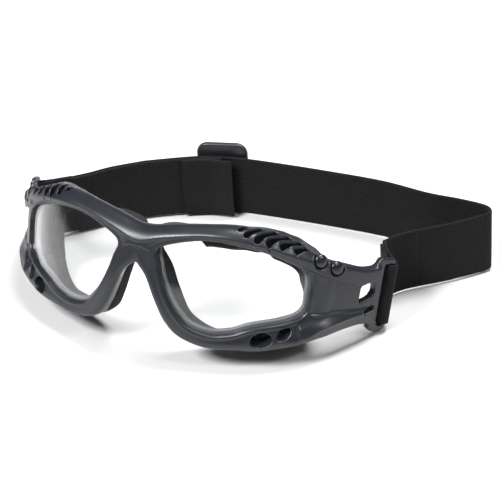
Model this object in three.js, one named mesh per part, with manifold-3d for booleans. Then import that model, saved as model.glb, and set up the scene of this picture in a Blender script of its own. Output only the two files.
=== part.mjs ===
// Sports protective goggles: a one-piece moulded wrap frame with two clear lenses, foam face
// gaskets, vented brow, press-in studs, strap lugs and an elastic head strap with a slider.
// Millimetres, +Z up, the front faces -Y, Z = 0 is the table and +X is the wearer's left. Points
// are written with X = 0 on the frame's symmetry plane; the whole is moved to its footprint's
// middle at the end.
import * as THREE from "three";
import { mergeVertices } from "three/addons/utils/BufferGeometryUtils.js";
import Module from "manifold-3d";

const wasm = await Module();
wasm.setup();

// ---- driving dimensions ----
const GAP = 0.3; // air kept between neighbouring solids
const RING_STEPS = 48; // stations round an eye opening

const WRAP_FRONT_Y = -41.8; // the wrap surface at the middle of the bridge
const WRAP_MID_Z = 26.5; // height at which the wrap terms below are measured

const RING_DEPTH = 9.0; // from the front surface to the face side
const RING_BACK_WIDTH = 3.6; // of the frame's edge that carries the foam
const FRONT_LIP = 0.9; // frame material in front of the lens
const LENS_THICKNESS = 2.0;
const LENS_OVERLAP = 1.0; // how far the lens reaches under the lip
const RETAINER_DEPTH = 1.3;
const RETAINER_WIDTH = 1.5;

const FOAM_THICKNESS = 4.6;
const FOAM_WIDTH = 5.2;
const FOAM_MIDDLE_GAP = 0.6; // between the two foams behind the bridge
const FOAM_FLARE_SHARE = 0.35; // how much further the foam spreads than the frame's edge

const TEMPLE_WALL = 2.8; // thickness of the side panels
const TEMPLE_RIDGE = 1.6; // how far the ridge along the panel's top edge stands out
const TEMPLE_START_X = 59.5;
const TEMPLE_END_X = 73.4;
const TEMPLE_LEAN = 0.06; // the panel's end line leans back with height

const STUD_RADIUS = 2.7;
const STUD_SHANK_RADIUS = 1.4;
const STUD_DOME = 1.3;
const STUD_STANDS = 1.3; // foot of the dome above the wrap surface
const STUD_REACH = 3.2; // length of the shank below that
const STUD_TILT = 0.35; // the studs look a little upwards
const STUD_HOLE_CLEARANCE = 0.35;

const SLOT_COUNT = 6; // brow vent slots on each side
const SLOT_WIDTH = 2.3;
const SLOT_PITCH = 4.0;
const SLOT_LENGTH = 8.6;
const END_SLOT_LENGTH = 3.6; // the first and the last are short
const SLOT_DEPTH = 9.0;
const SLOT_HEADING = [0.3, 0.954]; // in plan

const STRAP_WIDTH = 25;
const STRAP_THICKNESS = 1.4;
const STRAP_BOTTOM_Z = 1.0;

const LUG_BAR_RADIUS = 1.25;
const LUG_SLOT_WIDTH = 2.5;
const LUG_SLOT_HEIGHT = 23.2;
const LUG_POST = 3.3; // width of the lug between its slot and the panel
const LUG_THICKNESS = 2.6;
const LUG_HOOK = 2.6; // height of the lug's ends beyond its slot

const SLIDER_WIDTH = 22;
const SLIDER_HEIGHT = 31;
const SLIDER_THICKNESS = 2.4;
const SLIDER_BORDER = 2.8; // top, bottom and end bars
const SLIDER_CENTRE_BAR = 3.0;
const SLIDER_CORNER = 4.0;
const SLIDER_STANDS_OFF = 0.5; // from the strap's outer face
const SLIDER_CENTRE = [-16.3, 55.6]; // in plan, on the strap's middle line
const SLIDER_YAW = 0.306; // the band under it runs forwards towards the right side

const FOOTPRINT_MIDDLE = [8.9, 10.2]; // in plan, measured from the bridge's symmetry plane

// ---- finishes ----
const finish = {
  frame: { color: 0x2b2c30, roughness: 0.45, metalness: 0 },
  lens: { color: 0xe9eef0, roughness: 0.05, metalness: 0, transparent: true, opacity: 0.3 },
  retainer: { color: 0x6d7175, roughness: 0.4, metalness: 0 },
  foam: { color: 0x151515, roughness: 0.95, metalness: 0 },
  filter: { color: 0x2c2722, roughness: 0.95, metalness: 0 },
  stud: { color: 0x303237, roughness: 0.35, metalness: 0 },
  strap: { color: 0x1b1b1c, roughness: 0.9, metalness: 0 },
  slider: { color: 0x222326, roughness: 0.4, metalness: 0 },
};

const goggles = new THREE.Group();

function addPiece(name, geometry, look) {
  const mesh = new THREE.Mesh(geometry, new THREE.MeshStandardMaterial(look));
  mesh.name = name;
  goggles.add(mesh);
  return mesh;
}

// ---- solids: helpers ----

// A geometry with shared vertices and its faces turned outwards.
function closed(geometry) {
  const bare = geometry.clone();
  bare.deleteAttribute("normal");
  bare.deleteAttribute("uv");
  const merged = mergeVertices(bare, 1e-4);
  const p = merged.attributes.position;
  const index = merged.index.array;
  const [a, b, c] = [new THREE.Vector3(), new THREE.Vector3(), new THREE.Vector3()];
  let volume = 0;
  for (let i = 0; i < index.length; i += 3) {
    a.fromBufferAttribute(p, index[i]);
    b.fromBufferAttribute(p, index[i + 1]);
    c.fromBufferAttribute(p, index[i + 2]);
    volume += a.dot(b.cross(c));
  }
  if (volume < 0) {
    for (let i = 0; i < index.length; i += 3) {
      [index[i + 1], index[i + 2]] = [index[i + 2], index[i + 1]];
    }
  }
  return merged;
}

function toSolid(geometry) {
  const merged = closed(geometry);
  return new wasm.Manifold(
    new wasm.Mesh({
      numProp: 3,
      vertProperties: new Float32Array(merged.attributes.position.array),
      triVerts: new Uint32Array(merged.index.array),
    }),
  );
}

function fromSolid(solid) {
  const mesh = solid.getMesh();
  const geometry = new THREE.BufferGeometry();
  geometry.setAttribute("position", new THREE.BufferAttribute(mesh.vertProperties, 3));
  geometry.setIndex(new THREE.BufferAttribute(mesh.triVerts, 1));
  geometry.computeVertexNormals();
  return geometry;
}

function mirrored(geometry) {
  return closed(geometry.clone().scale(-1, 1, 1));
}

// Sections of equal length joined into a skin. A ring of sections closes on itself; a row of
// sections gets a flat fan cap at each end.
function skin(sections, isRing) {
  const count = sections[0].length;
  const points = sections.flat();
  const index = [];
  const last = isRing ? sections.length : sections.length - 1;
  for (let i = 0; i < last; i++) {
    const here = i * count;
    const next = ((i + 1) % sections.length) * count;
    for (let j = 0; j < count; j++) {
      const k = (j + 1) % count;
      index.push(here + j, next + j, next + k, here + j, next + k, here + k);
    }
  }
  if (!isRing) {
    const end = (sections.length - 1) * count;
    for (let j = 1; j < count - 1; j++) {
      index.push(0, j, j + 1, end, end + j + 1, end + j);
    }
  }
  const geometry = new THREE.BufferGeometry().setFromPoints(points);
  geometry.setIndex(index);
  return closed(geometry);
}

// A box, cylinder or extrusion placed by three axes and an origin.
function placed(geometry, xAxis, yAxis, zAxis, origin) {
  const matrix = new THREE.Matrix4().makeBasis(xAxis, yAxis, zAxis).setPosition(origin);
  return geometry.applyMatrix4(matrix);
}

// A rectangle with round corners, as an outline of points.
function roundedOutline(halfWidth, halfHeight, corner, steps) {
  const points = [];
  const centres = [[1, -1], [1, 1], [-1, 1], [-1, -1]];
  centres.forEach(([sx, sy], quarter) => {
    for (let i = 0; i <= steps; i++) {
      const angle = (Math.PI / 2) * (quarter - 1 + i / steps);
      const x = sx * (halfWidth - corner) + corner * Math.cos(angle);
      const y = sy * (halfHeight - corner) + corner * Math.sin(angle);
      points.push(new THREE.Vector2(x, y));
    }
  });
  return points;
}

// Linear reading of a row of [x, value] keys.
function along(keys, x) {
  let i = 1;
  while (i < keys.length - 1 && keys[i][0] < x) i++;
  const [x0, v0] = keys[i - 1];
  const [x1, v1] = keys[i];
  const share = THREE.MathUtils.clamp((x - x0) / (x1 - x0), 0, 1);
  return v0 + (v1 - v0) * share;
}

// ---- the wrap surface that the whole front follows ----

// Depth Y of the wrap surface: it curves round the face and leans back towards the brow.
function wrapY(x, z) {
  const w = (x / 50) ** 2;
  const h = (z - WRAP_MID_Z) / 20;
  return WRAP_FRONT_Y + 10.25 * w + 5.66 * w * w + 4.5 * h + 3.6 * h * h + 1.8 * w * h;
}

// Outward direction in plan.
function wrapNormal(x, z) {
  const step = 0.1;
  const slope = (wrapY(x + step, z) - wrapY(x - step, z)) / (2 * step);
  return new THREE.Vector3(slope, -1, 0).normalize();
}

// A point on the front at (x, z), pushed in behind the surface by depth.
function onWrap(x, z, depth) {
  return new THREE.Vector3(x, wrapY(x, z), z).addScaledVector(wrapNormal(x, z), -depth);
}

// ---- one eye: the opening, and the outer edge of the ring of frame round it ----

// [opening x, z, ring's outer edge x, z, stand-out of that edge, flare at the back], round the eye
const eyeStations = [
  [58.4, 25.3, 64.0, 25.5, 0.0, 0.5],
  [57.5, 32.8, 61.5, 35.6, 1.4, 0.4],
  [50.4, 39.3, 52.2, 42.6, 2.0, 0.3],
  [39.5, 44.7, 40.8, 48.2, 2.0, 0.2],
  [24.3, 47.2, 24.4, 51.2, 1.6, 0.2],
  [8.9, 43.6, -1.5, 47.6, 1.2, 0.0],
  [9.3, 37.6, -1.5, 39.6, 0.6, -1.0],
  [11.5, 31.6, 4.3, 33.4, 0.6, -1.0],
  [14.6, 25.3, 8.2, 25.6, 0.6, 0.0],
  [17.6, 20.9, 12.2, 17.9, 0.6, 0.8],
  [21.6, 16.9, 17.3, 12.3, 0.6, 2.0],
  [28.5, 14.7, 26.5, 8.9, 0.8, 3.5],
  [36.1, 15.2, 37.0, 8.4, 1.2, 4.6],
  [43.0, 17.1, 47.5, 7.6, 2.4, 5.0],
  [56.1, 18.2, 60.5, 10.0, 3.2, 3.0],
];

function closedCurve(columns) {
  const points = eyeStations.map((row) => new THREE.Vector3(...columns.map((c) => row[c] ?? 0)));
  return new THREE.CatmullRomCurve3(points, true, "catmullrom", 0.5);
}
const openingCurve = closedCurve([0, 1, 6]);
const outerCurve = closedCurve([2, 3, 6]);
const characterCurve = closedCurve([4, 5, 6]);

// The in-plane direction away from the opening, and the ring's width, at a share t round it.
function ringAt(t) {
  const inner = openingCurve.getPoint(t);
  const outer = outerCurve.getPoint(t);
  const out = outer.clone().sub(inner);
  const width = out.length();
  out.normalize();
  const character = characterCurve.getPoint(t);
  return { inner, out, width, proud: character.x, flare: character.y };
}

// A point of the ring: reach outwards from the opening's edge, and depth behind the surface.
function ringPoint(ring, reach, depth) {
  const x = ring.inner.x + ring.out.x * reach;
  const z = ring.inner.y + ring.out.y * reach;
  return onWrap(x, z, depth);
}

// A rounded four-sided section, from its corners as [reach, depth], as a superellipse.
function roundedSection(ring, corners, steps, power) {
  const section = [];
  for (let i = 0; i < steps; i++) {
    const angle = (2 * Math.PI * (i + 0.5)) / steps;
    const [c, s] = [Math.cos(angle), Math.sin(angle)];
    const a = (Math.sign(c) * Math.abs(c) ** (2 / power) + 1) / 2;
    const b = (Math.sign(s) * Math.abs(s) ** (2 / power) + 1) / 2;
    const [frontIn, frontOut, backOut, backIn] = corners;
    const [reach, depth] = [0, 1].map((axis) => {
      const front = (1 - a) * frontIn[axis] + a * frontOut[axis];
      const back = (1 - a) * backIn[axis] + a * backOut[axis];
      return (1 - b) * front + b * back;
    });
    section.push(ringPoint(ring, reach, depth));
  }
  return section;
}

function ringSolid(cornersOf, steps, power) {
  const sections = [];
  for (let i = 0; i < RING_STEPS; i++) {
    const ring = ringAt(i / RING_STEPS);
    sections.push(roundedSection(ring, cornersOf(ring), steps, power));
  }
  return skin(sections, true);
}

function eyeRing() {
  const corners = (ring) => {
    const back = ring.width + ring.flare;
    const backIn = Math.max(back - RING_BACK_WIDTH, 0.1);
    return [
      [0, 0],
      [ring.width, -ring.proud],
      [back, RING_DEPTH],
      [backIn, RING_DEPTH],
    ];
  };
  return ringSolid(corners, 14, 4.5);
}

// A lens-shaped plate inside the opening, grown by reach, between two depths.
function lensPlate(reach, frontDepth, backDepth) {
  const shares = [0.35, 0.7, 1];
  const middle = new THREE.Vector2(33, 29);
  const rim = [];
  for (let i = 0; i < RING_STEPS; i++) {
    const ring = ringAt(i / RING_STEPS);
    const edge = ring.out.clone().multiplyScalar(reach).add(ring.inner);
    rim.push(new THREE.Vector2(edge.x, edge.y));
  }
  const spot = (p, share, depth) => {
    const q = middle.clone().lerp(p, share);
    return onWrap(q.x, q.y, depth);
  };
  const sheet = (depth) => shares.map((share) => rim.map((p) => spot(p, share, depth)));
  const front = sheet(frontDepth);
  const back = sheet(backDepth).reverse();
  const points = [
    spot(middle, 0, frontDepth),
    ...front.flat(),
    ...back.flat(),
    spot(middle, 0, backDepth),
  ];
  const rows = front.length + back.length;
  const index = [];
  const at = (row, i) => 1 + row * RING_STEPS + (i % RING_STEPS);
  for (let i = 0; i < RING_STEPS; i++) {
    index.push(0, at(0, i), at(0, i + 1));
    index.push(points.length - 1, at(rows - 1, i + 1), at(rows - 1, i));
    for (let row = 0; row < rows - 1; row++) {
      index.push(at(row, i), at(row + 1, i), at(row + 1, i + 1));
      index.push(at(row, i), at(row + 1, i + 1), at(row, i + 1));
    }
  }
  const geometry = new THREE.BufferGeometry().setFromPoints(points);
  geometry.setIndex(index);
  return closed(geometry);
}

const lensBackDepth = FRONT_LIP + LENS_THICKNESS;
const retainerFront = lensBackDepth + GAP;
const retainerBack = retainerFront + RETAINER_DEPTH;

function retainerRing(grow) {
  const corners = () => [
    [-RETAINER_WIDTH + 0.2 - grow, retainerFront - grow],
    [0.2 + grow, retainerFront - grow],
    [0.2 + grow, retainerBack + grow],
    [-RETAINER_WIDTH + 0.2 - grow, retainerBack + grow],
  ];
  return ringSolid(corners, 8, 6);
}

function foamRing() {
  const front = RING_DEPTH + GAP;
  const corners = (ring) => {
    const out = ring.width + ring.flare + Math.max(ring.flare, 0) * FOAM_FLARE_SHARE;
    return [
      [out - FOAM_WIDTH, front],
      [out - 0.4, front],
      [out, front + FOAM_THICKNESS],
      [out - FOAM_WIDTH - 0.6, front + FOAM_THICKNESS],
    ];
  };
  const beyond = new THREE.BoxGeometry(20, 60, 60).translate(FOAM_MIDDLE_GAP / 2 - 10, -30, 40);
  return fromSolid(toSolid(ringSolid(corners, 8, 5)).subtract(toSolid(beyond)));
}

// ---- side panel, lug ----

const templeTop = [[56, 40.5], [60, 38.6], [66, 34.6], [70, 30.6], [72, 28.8], [74, 27.6], [76, 26]];
const templeBottom = [[56, 11.5], [60, 9.6], [65, 9.2], [70, 7.9], [72, 6.4], [76, 5]];

function templePanel() {
  const stations = 8;
  const steps = 16;
  const sections = [];
  for (let i = 0; i <= stations; i++) {
    const share = i / stations;
    const x = TEMPLE_START_X + (TEMPLE_END_X - TEMPLE_START_X) * share;
    const [low, high] = [along(templeBottom, x), along(templeTop, x)];
    const section = [];
    for (let j = 0; j < steps; j++) {
      const angle = (2 * Math.PI * (j + 0.5)) / steps;
      const [c, s] = [Math.cos(angle), Math.sin(angle)];
      const a = (Math.sign(c) * Math.abs(c) ** 0.35 + 1) / 2;
      const b = (Math.sign(s) * Math.abs(s) ** 0.5 + 1) / 2;
      const z = low + (high - low) * a;
      const lean = TEMPLE_LEAN * (z - 15) * share;
      const ridge = TEMPLE_RIDGE * THREE.MathUtils.smoothstep(a, 0.7, 0.85) * (1 - 0.5 * share);
      section.push(onWrap(x + lean, z, -ridge * (1 - b) + TEMPLE_WALL * b));
    }
    sections.push(section);
  }
  return skin(sections, false);
}

// The lug's own axes: up its bars, inwards through its slot, and outwards along the panel.
const lugUp = new THREE.Vector3(0.0575, 0.3186, 0.947).normalize();
const lugIn = new THREE.Vector3(-0.906, 0.423, -0.087).normalize();
const lugAlong = new THREE.Vector3().crossVectors(lugIn, lugUp).normalize();
const lugOrigin = new THREE.Vector3(73.6, 2.1, 4.4); // foot of the slot, at its panel side
const lugBarAlong = LUG_SLOT_WIDTH + LUG_BAR_RADIUS;

function lugPoint(alongBy, upBy, inBy) {
  return lugOrigin
    .clone()
    .addScaledVector(lugAlong, alongBy)
    .addScaledVector(lugUp, upBy)
    .addScaledVector(lugIn, inBy);
}

// A plate drawn in the lug's plane as [along, up] points, centred on the bars' thickness.
function lugPlate(outline, thickness) {
  const shape = new THREE.Shape(outline.map(([a, u]) => new THREE.Vector2(a, u)));
  const plate = new THREE.ExtrudeGeometry(shape, { depth: thickness, bevelEnabled: false });
  const start = lugPoint(0, 0, (LUG_THICKNESS - thickness) / 2);
  return placed(plate, lugAlong, lugUp, lugIn, start);
}

function lug() {
  const top = LUG_SLOT_HEIGHT + LUG_HOOK;
  const bottom = -LUG_HOOK + 0.2;
  const far = lugBarAlong + LUG_BAR_RADIUS;
  const outline = [
    [-LUG_POST - 1.5, 2],
    [-LUG_POST + 1.6, bottom + 0.3],
    [far - 2.2, bottom],
    [far, bottom + 1.8],
    [far, top - 1.6],
    [far - 1.6, top],
    [-0.4, top],
    [-2.4, top - 1.0],
    [-LUG_POST - 0.2, top - 3.4],
    [-LUG_POST - 1.5, top - 7],
  ];
  const slot = [
    [0, 0],
    [far + 1, 0],
    [far + 1, LUG_SLOT_HEIGHT],
    [0, LUG_SLOT_HEIGHT],
  ];
  const r = LUG_BAR_RADIUS;
  const bar = new THREE.CylinderGeometry(r, r, LUG_SLOT_HEIGHT + LUG_HOOK, 12);
  const middle = lugPoint(lugBarAlong, LUG_SLOT_HEIGHT / 2, LUG_THICKNESS / 2);
  placed(bar, lugAlong, lugUp, lugIn, middle);
  return toSolid(lugPlate(outline, LUG_THICKNESS))
    .subtract(toSolid(lugPlate(slot, LUG_THICKNESS * 2)))
    .add(toSolid(bar));
}

// ---- cuts in the frame ----

// A cutter along the surface's normal at (x, z): an oval given by its half sizes and its tilt.
function ovalCutter(x, z, halfWidth, halfHeight, tilt, length) {
  const cylinder = new THREE.CylinderGeometry(1, 1, length, 20);
  const normal = wrapNormal(x, z);
  const up = new THREE.Vector3(0, 0, 1);
  const side = new THREE.Vector3().crossVectors(up, normal).normalize();
  const wide = side.clone().multiplyScalar(Math.cos(tilt)).addScaledVector(up, Math.sin(tilt));
  const tall = new THREE.Vector3().crossVectors(wide, normal);
  return placed(cylinder.scale(halfWidth, 1, halfHeight), wide, normal, tall, onWrap(x, z, 0));
}

// A straight prism along the surface's normal, from an outline of [x, z] points on the panel.
function panelCutter(outline, x, z) {
  const normal = wrapNormal(x, z);
  const side = new THREE.Vector3(-normal.y, normal.x, 0);
  const centre = onWrap(x, z, 0);
  const points = outline.map(([px, pz]) => {
    const p = onWrap(px, pz, 0).sub(centre);
    return new THREE.Vector2(p.dot(side), p.z);
  });
  const depth = 5 * TEMPLE_WALL;
  const shape = new THREE.Shape(points);
  const geometry = new THREE.ExtrudeGeometry(shape, { depth, bevelEnabled: false });
  const start = centre.clone().addScaledVector(normal, -depth / 2);
  return placed(geometry, side, new THREE.Vector3(0, 0, 1), normal, start);
}

// Brow slot, numbered from the nose side: a capsule cut down into the brow's top wall.
function slotCutter(number) {
  const isShort = number === 0 || number === SLOT_COUNT - 1;
  const x = 35 + SLOT_PITCH * number;
  const length = isShort ? END_SLOT_LENGTH : SLOT_LENGTH;
  const heading = new THREE.Vector3(...SLOT_HEADING, 0);
  const up = new THREE.Vector3(0, 0, 1);
  const side = new THREE.Vector3().crossVectors(up, heading);
  const browTop = 53.4 - 0.47 * (x - 28);
  const half = SLOT_WIDTH / 2;
  const shape = new THREE.Shape(roundedOutline(length / 2 + half, half, 0.98 * half, 3));
  const settings = { depth: SLOT_DEPTH, bevelEnabled: false };
  const geometry = new THREE.ExtrudeGeometry(shape, settings);
  const middle = onWrap(x, browTop - 4, isShort ? 2.0 : 3.0);
  const start = new THREE.Vector3(middle.x, middle.y, browTop - 5.6);
  return placed(geometry, heading, side, up, start);
}

const studs = [
  { name: "front", x: 59.9, z: 36.0 },
  { name: "rear", x: 64.2, z: 32.2 },
];

// A shallow domed button on a short shank, sunk in a round recess of the side panel.
function studGeometry(stud, grow) {
  const r = STUD_RADIUS + grow;
  const shank = STUD_SHANK_RADIUS + grow;
  const reach = STUD_REACH + grow;
  const profile = [
    new THREE.Vector2(0, -reach),
    new THREE.Vector2(shank, -reach),
    new THREE.Vector2(shank, -0.9 - grow),
    new THREE.Vector2(r, -0.9 - grow),
    new THREE.Vector2(r, 0.3),
    new THREE.Vector2(r * 0.7, STUD_DOME * 0.73 + grow),
    new THREE.Vector2(0, STUD_DOME + grow * 4),
  ];
  const geometry = new THREE.LatheGeometry(profile, 20);
  const normal = wrapNormal(stud.x, stud.z).setZ(STUD_TILT).normalize();
  const side = new THREE.Vector3(-normal.y, normal.x, 0).normalize();
  const tall = new THREE.Vector3().crossVectors(side, normal);
  return placed(geometry, side, normal, tall, onWrap(stud.x, stud.z, -STUD_STANDS));
}

// The two lower vents: x, z, half width, half height and tilt of each oval.
const lowerVents = [
  [46.9, 12.9, 3.9, 2.5, 0.12],
  [53.6, 14.0, 2.9, 1.7, 0.45],
];
const LOWER_VENT_LENGTH = 18;

// The see-through window and the small hole in the side panel, as [x, z] outlines.
const panelWindow = [[69.9, 15.8], [70.6, 21.8], [72.6, 21.4], [73.3, 18.9], [72.4, 16]];
const panelHole = [[71.4, 11.6], [71.4, 13.2], [72.7, 13.2], [72.7, 11.6]];

// The +X half of the front, with everything cut out of it.
function halfFrame() {
  const groove = lensPlate(LENS_OVERLAP + GAP, FRONT_LIP - GAP, lensBackDepth + GAP);
  const cutters = [groove, retainerRing(GAP), lowerFilter(GAP)];
  for (let number = 0; number < SLOT_COUNT; number++) cutters.push(slotCutter(number));
  for (const stud of studs) cutters.push(studGeometry(stud, STUD_HOLE_CLEARANCE));
  for (const vent of lowerVents) cutters.push(ovalCutter(...vent, LOWER_VENT_LENGTH));
  cutters.push(panelCutter(panelWindow, 71.5, 19));
  cutters.push(panelCutter(panelHole, 72, 12.5));
  const whole = toSolid(eyeRing()).add(toSolid(templePanel())).add(lug());
  return cutters.reduce((rest, cutter) => rest.subtract(toSolid(cutter)), whole);
}

function frontFrame() {
  const left = halfFrame();
  const right = toSolid(mirrored(fromSolid(left)));
  return fromSolid(left.add(right));
}

// ---- vent filters ----

// A foam strip under the brow wall, between two shares round the opening.
function browFilter() {
  const steps = 14;
  const [inner, outer] = [-2.4, -0.7];
  const [front, back] = [retainerBack + 2 * GAP, RING_DEPTH - 0.4];
  const corners = [[inner, front], [outer, front], [outer, back], [inner, back]];
  const sections = [];
  for (let i = 0; i <= steps; i++) {
    const ring = ringAt(THREE.MathUtils.lerp(0.095, 0.235, i / steps));
    sections.push(roundedSection(ring, corners, 8, 6));
  }
  return skin(sections, false);
}

// A foam plug behind the two lower vents, grown all round by a clearance.
function lowerFilter(grow) {
  const [start, end] = [44 - grow, 56 + grow];
  const sections = [];
  const steps = 8;
  const slope = 0.07;
  for (let i = 0; i <= steps; i++) {
    const x = THREE.MathUtils.lerp(start, end, i / steps);
    const [low, high] = [10.4 - grow, 15.6 + grow];
    const [front, back] = [6 - grow, 8.4 + grow];
    const corners = [[low, front], [high, front], [high, back], [low, back]];
    sections.push(corners.map(([z, depth]) => onWrap(x, z + (x - 50) * slope, depth)));
  }
  return skin(sections, false);
}

// ---- strap ----

// A flat band: bottom edge points, width vectors and a thickness, as a closed skin.
function band(feet, widths, thickness) {
  const sections = feet.map((foot, i) => {
    const before = feet[Math.max(i - 1, 0)];
    const after = feet[Math.min(i + 1, feet.length - 1)];
    const face = new THREE.Vector3().subVectors(after, before).cross(widths[i]).normalize();
    const half = face.multiplyScalar(thickness / 2);
    const head = foot.clone().add(widths[i]);
    return [
      foot.clone().sub(half),
      foot.clone().add(half),
      head.clone().add(half),
      head.clone().sub(half),
    ];
  });
  return skin(sections, false);
}

// A smooth plan path through [x, y] points at one height.
function planPath(points, steps, z) {
  const spots = points.map(([x, y]) => new THREE.Vector3(x, y, z));
  return new THREE.CatmullRomCurve3(spots, false, "centripetal").getSpacedPoints(steps);
}

const upright = new THREE.Vector3(0, 0, STRAP_WIDTH);
const LAYER_SPACING = STRAP_THICKNESS + GAP; // middle to middle of two layers lying together

// Plan points of the outer, running layer, from the bend behind the left lug to the right lug.
const bendLeft = [67.4, 24.1];
const leftSide = [[67.6, 24.6], [72.1, 32.0], [84.8, 44.0], [93.6, 53.8]];
const backSpan = [
  [93.9, 54.2],
  [95.6, 57.6],
  [92.4, 60.8],
  [82.0, 61.4],
  [69.0, 60.9],
  [50.0, 62.4],
  [28.0, 61.2],
  [6.0, 59.2],
  [-8.0, 57.4],
  [-16.3, 55.6],
  [-27.0, 51.4],
  [-43.0, 41.4],
];
const rightSide = [[-43.3, 41.1], [-52.7, 32.6], [-58.8, 25.2], [-64.0, 19.8]];
const returnPath = [[-64.0, 19.8], [-58.8, 25.2], [-52.7, 32.6], [-43.0, 41.4], [-30.5, 49.5]];
const RETURN_STEPS = 24;

function sideBand(points, steps) {
  const feet = planPath(points, steps, STRAP_BOTTOM_Z);
  return band(feet, feet.map(() => upright), STRAP_THICKNESS);
}

// The sewn end: round the lug's bar and back along itself. Its layers leave the bar towards the
// bend point, and its width turns from the bar's lean to upright on the way.
const LOOP_RADIUS = LUG_BAR_RADIUS + GAP + STRAP_THICKNESS / 2;
const LOOP_END_GAP = 0.4; // between the loop and each end of the slot
const LOOP_CLOSING_SHARE = 0.55; // where the two layers come together
const LOOP_TAB_SHARE = 0.86; // how far the inner layer reaches towards the bend

function loopBand(bend, outerEnd, innerEnd) {
  const bar = lugPoint(lugBarAlong, LOOP_END_GAP, LUG_THICKNESS / 2);
  const end = new THREE.Vector3(bend[0], bend[1], STRAP_BOTTOM_Z);
  const run = end.clone().sub(bar);
  const ahead = run.clone().addScaledVector(lugUp, -run.dot(lugUp)).normalize();
  const side = new THREE.Vector3().crossVectors(lugUp, ahead).normalize(); // towards the slot
  const widthOnBar = lugUp.clone().multiplyScalar(LUG_SLOT_HEIGHT - 2 * LOOP_END_GAP);
  const feet = [];
  const widths = [];
  const add = (share, offset, onBar) => {
    const foot = bar.clone().addScaledVector(run, share).addScaledVector(side, offset);
    const turn = THREE.MathUtils.smoothstep(share, 0, 1);
    feet.push(onBar ?? foot);
    widths.push(widthOnBar.clone().lerp(upright, turn));
  };
  const closeIn = (share) => {
    const closing = Math.min(share / LOOP_CLOSING_SHARE, 1);
    return THREE.MathUtils.lerp(LOOP_RADIUS, LAYER_SPACING / 2, closing);
  };
  const [steps, turnSteps] = [8, 10];
  for (let i = steps; i > 0; i--) add((outerEnd * i) / steps, -closeIn((outerEnd * i) / steps));
  for (let i = 0; i <= turnSteps; i++) {
    const angle = Math.PI * (-0.5 - i / turnSteps);
    const spot = bar
      .clone()
      .addScaledVector(side, LOOP_RADIUS * Math.sin(angle))
      .addScaledVector(ahead, LOOP_RADIUS * Math.cos(angle));
    add(0, 0, spot);
  }
  for (let i = 1; i <= steps; i++) add((innerEnd * i) / steps, closeIn((innerEnd * i) / steps));
  return band(feet, widths, STRAP_THICKNESS);
}

// The inner layer on the right side, from the lug's sewn loop back to the slider's centre bar.
function returnBand() {
  const outer = planPath(returnPath, RETURN_STEPS, STRAP_BOTTOM_Z);
  const feet = outer.map((p, i) => {
    const next = outer[Math.min(i + 1, outer.length - 1)];
    const last = outer[Math.max(i - 1, 0)];
    const inwards = new THREE.Vector3().subVectors(next, last).cross(upright).normalize();
    return p.clone().addScaledVector(inwards, LAYER_SPACING);
  });
  return band(feet, feet.map(() => upright), STRAP_THICKNESS);
}

// ---- slider ----

function sliderGeometry() {
  const [w, h] = [SLIDER_WIDTH / 2, SLIDER_HEIGHT / 2];
  const outline = new THREE.Shape(roundedOutline(w, h, SLIDER_CORNER, 4));
  const settings = { depth: SLIDER_THICKNESS, bevelEnabled: false };
  const plate = new THREE.ExtrudeGeometry(outline, settings);
  let solid = toSolid(plate);
  for (const sign of [-1, 1]) {
    const near = SLIDER_CENTRE_BAR / 2;
    const far = w - SLIDER_BORDER;
    const slot = new THREE.BoxGeometry(far - near, 2 * (h - SLIDER_BORDER), 3 * SLIDER_THICKNESS);
    slot.translate((sign * (far + near)) / 2, 0, 0);
    solid = solid.subtract(toSolid(slot));
  }
  const heading = new THREE.Vector3(Math.cos(SLIDER_YAW), Math.sin(SLIDER_YAW), 0);
  const inwards = new THREE.Vector3(Math.sin(SLIDER_YAW), -Math.cos(SLIDER_YAW), 0);
  const start = new THREE.Vector3(...SLIDER_CENTRE, h);
  start.addScaledVector(inwards, -STRAP_THICKNESS / 2 - SLIDER_STANDS_OFF - SLIDER_THICKNESS);
  return placed(fromSolid(solid), heading, new THREE.Vector3(0, 0, 1), inwards, start);
}

// ---- the assembly ----

addPiece("front_frame", frontFrame(), finish.frame);

const leftPieces = {
  lens: [lensPlate(LENS_OVERLAP, FRONT_LIP, lensBackDepth), finish.lens],
  lens_retainer: [retainerRing(0), finish.retainer],
  face_foam: [foamRing(), finish.foam],
  brow_vent_filter: [browFilter(), finish.filter],
  lower_vent_filter: [lowerFilter(0), finish.filter],
  stud_front: [closed(studGeometry(studs[0], 0)), finish.stud],
  stud_rear: [closed(studGeometry(studs[1], 0)), finish.stud],
};
for (const [name, [geometry, look]] of Object.entries(leftPieces)) {
  addPiece(name + "_left", geometry, look);
  addPiece(name + "_right", mirrored(geometry), look);
}

addPiece("strap_loop_left", loopBand(bendLeft, 0.97, LOOP_TAB_SHARE), finish.strap);
addPiece("strap_loop_right", mirrored(loopBand([64.3, 19.4], 0.94, 0.94)), finish.strap);
addPiece("strap_side_left", sideBand(leftSide, 14), finish.strap);
addPiece("strap_side_right", sideBand(rightSide, 10), finish.strap);
addPiece("strap_back", sideBand(backSpan, 56), finish.strap);
addPiece("strap_return", returnBand(), finish.strap);
addPiece("strap_slider", sliderGeometry(), finish.slider);

// The part's origin is the middle of its whole footprint, the strap included.
goggles.position.set(-FOOTPRINT_MIDDLE[0], -FOOTPRINT_MIDDLE[1], 0);

export default goggles;
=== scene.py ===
"""Sports protective goggles: the finished surfaces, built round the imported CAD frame.

Shapes are worked out in millimetres in the maker's frame, where X = 0 is the symmetry plane of the
moulded front, the table is Z = 0 and the lenses face -Y. to_row() turns that into the row frame.
"""

import logging
import math
from dataclasses import dataclass
from enum import Enum
from functools import reduce
from typing import Callable, Sequence

import bpy
import numpy as np
from mathutils import Matrix, Vector


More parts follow.
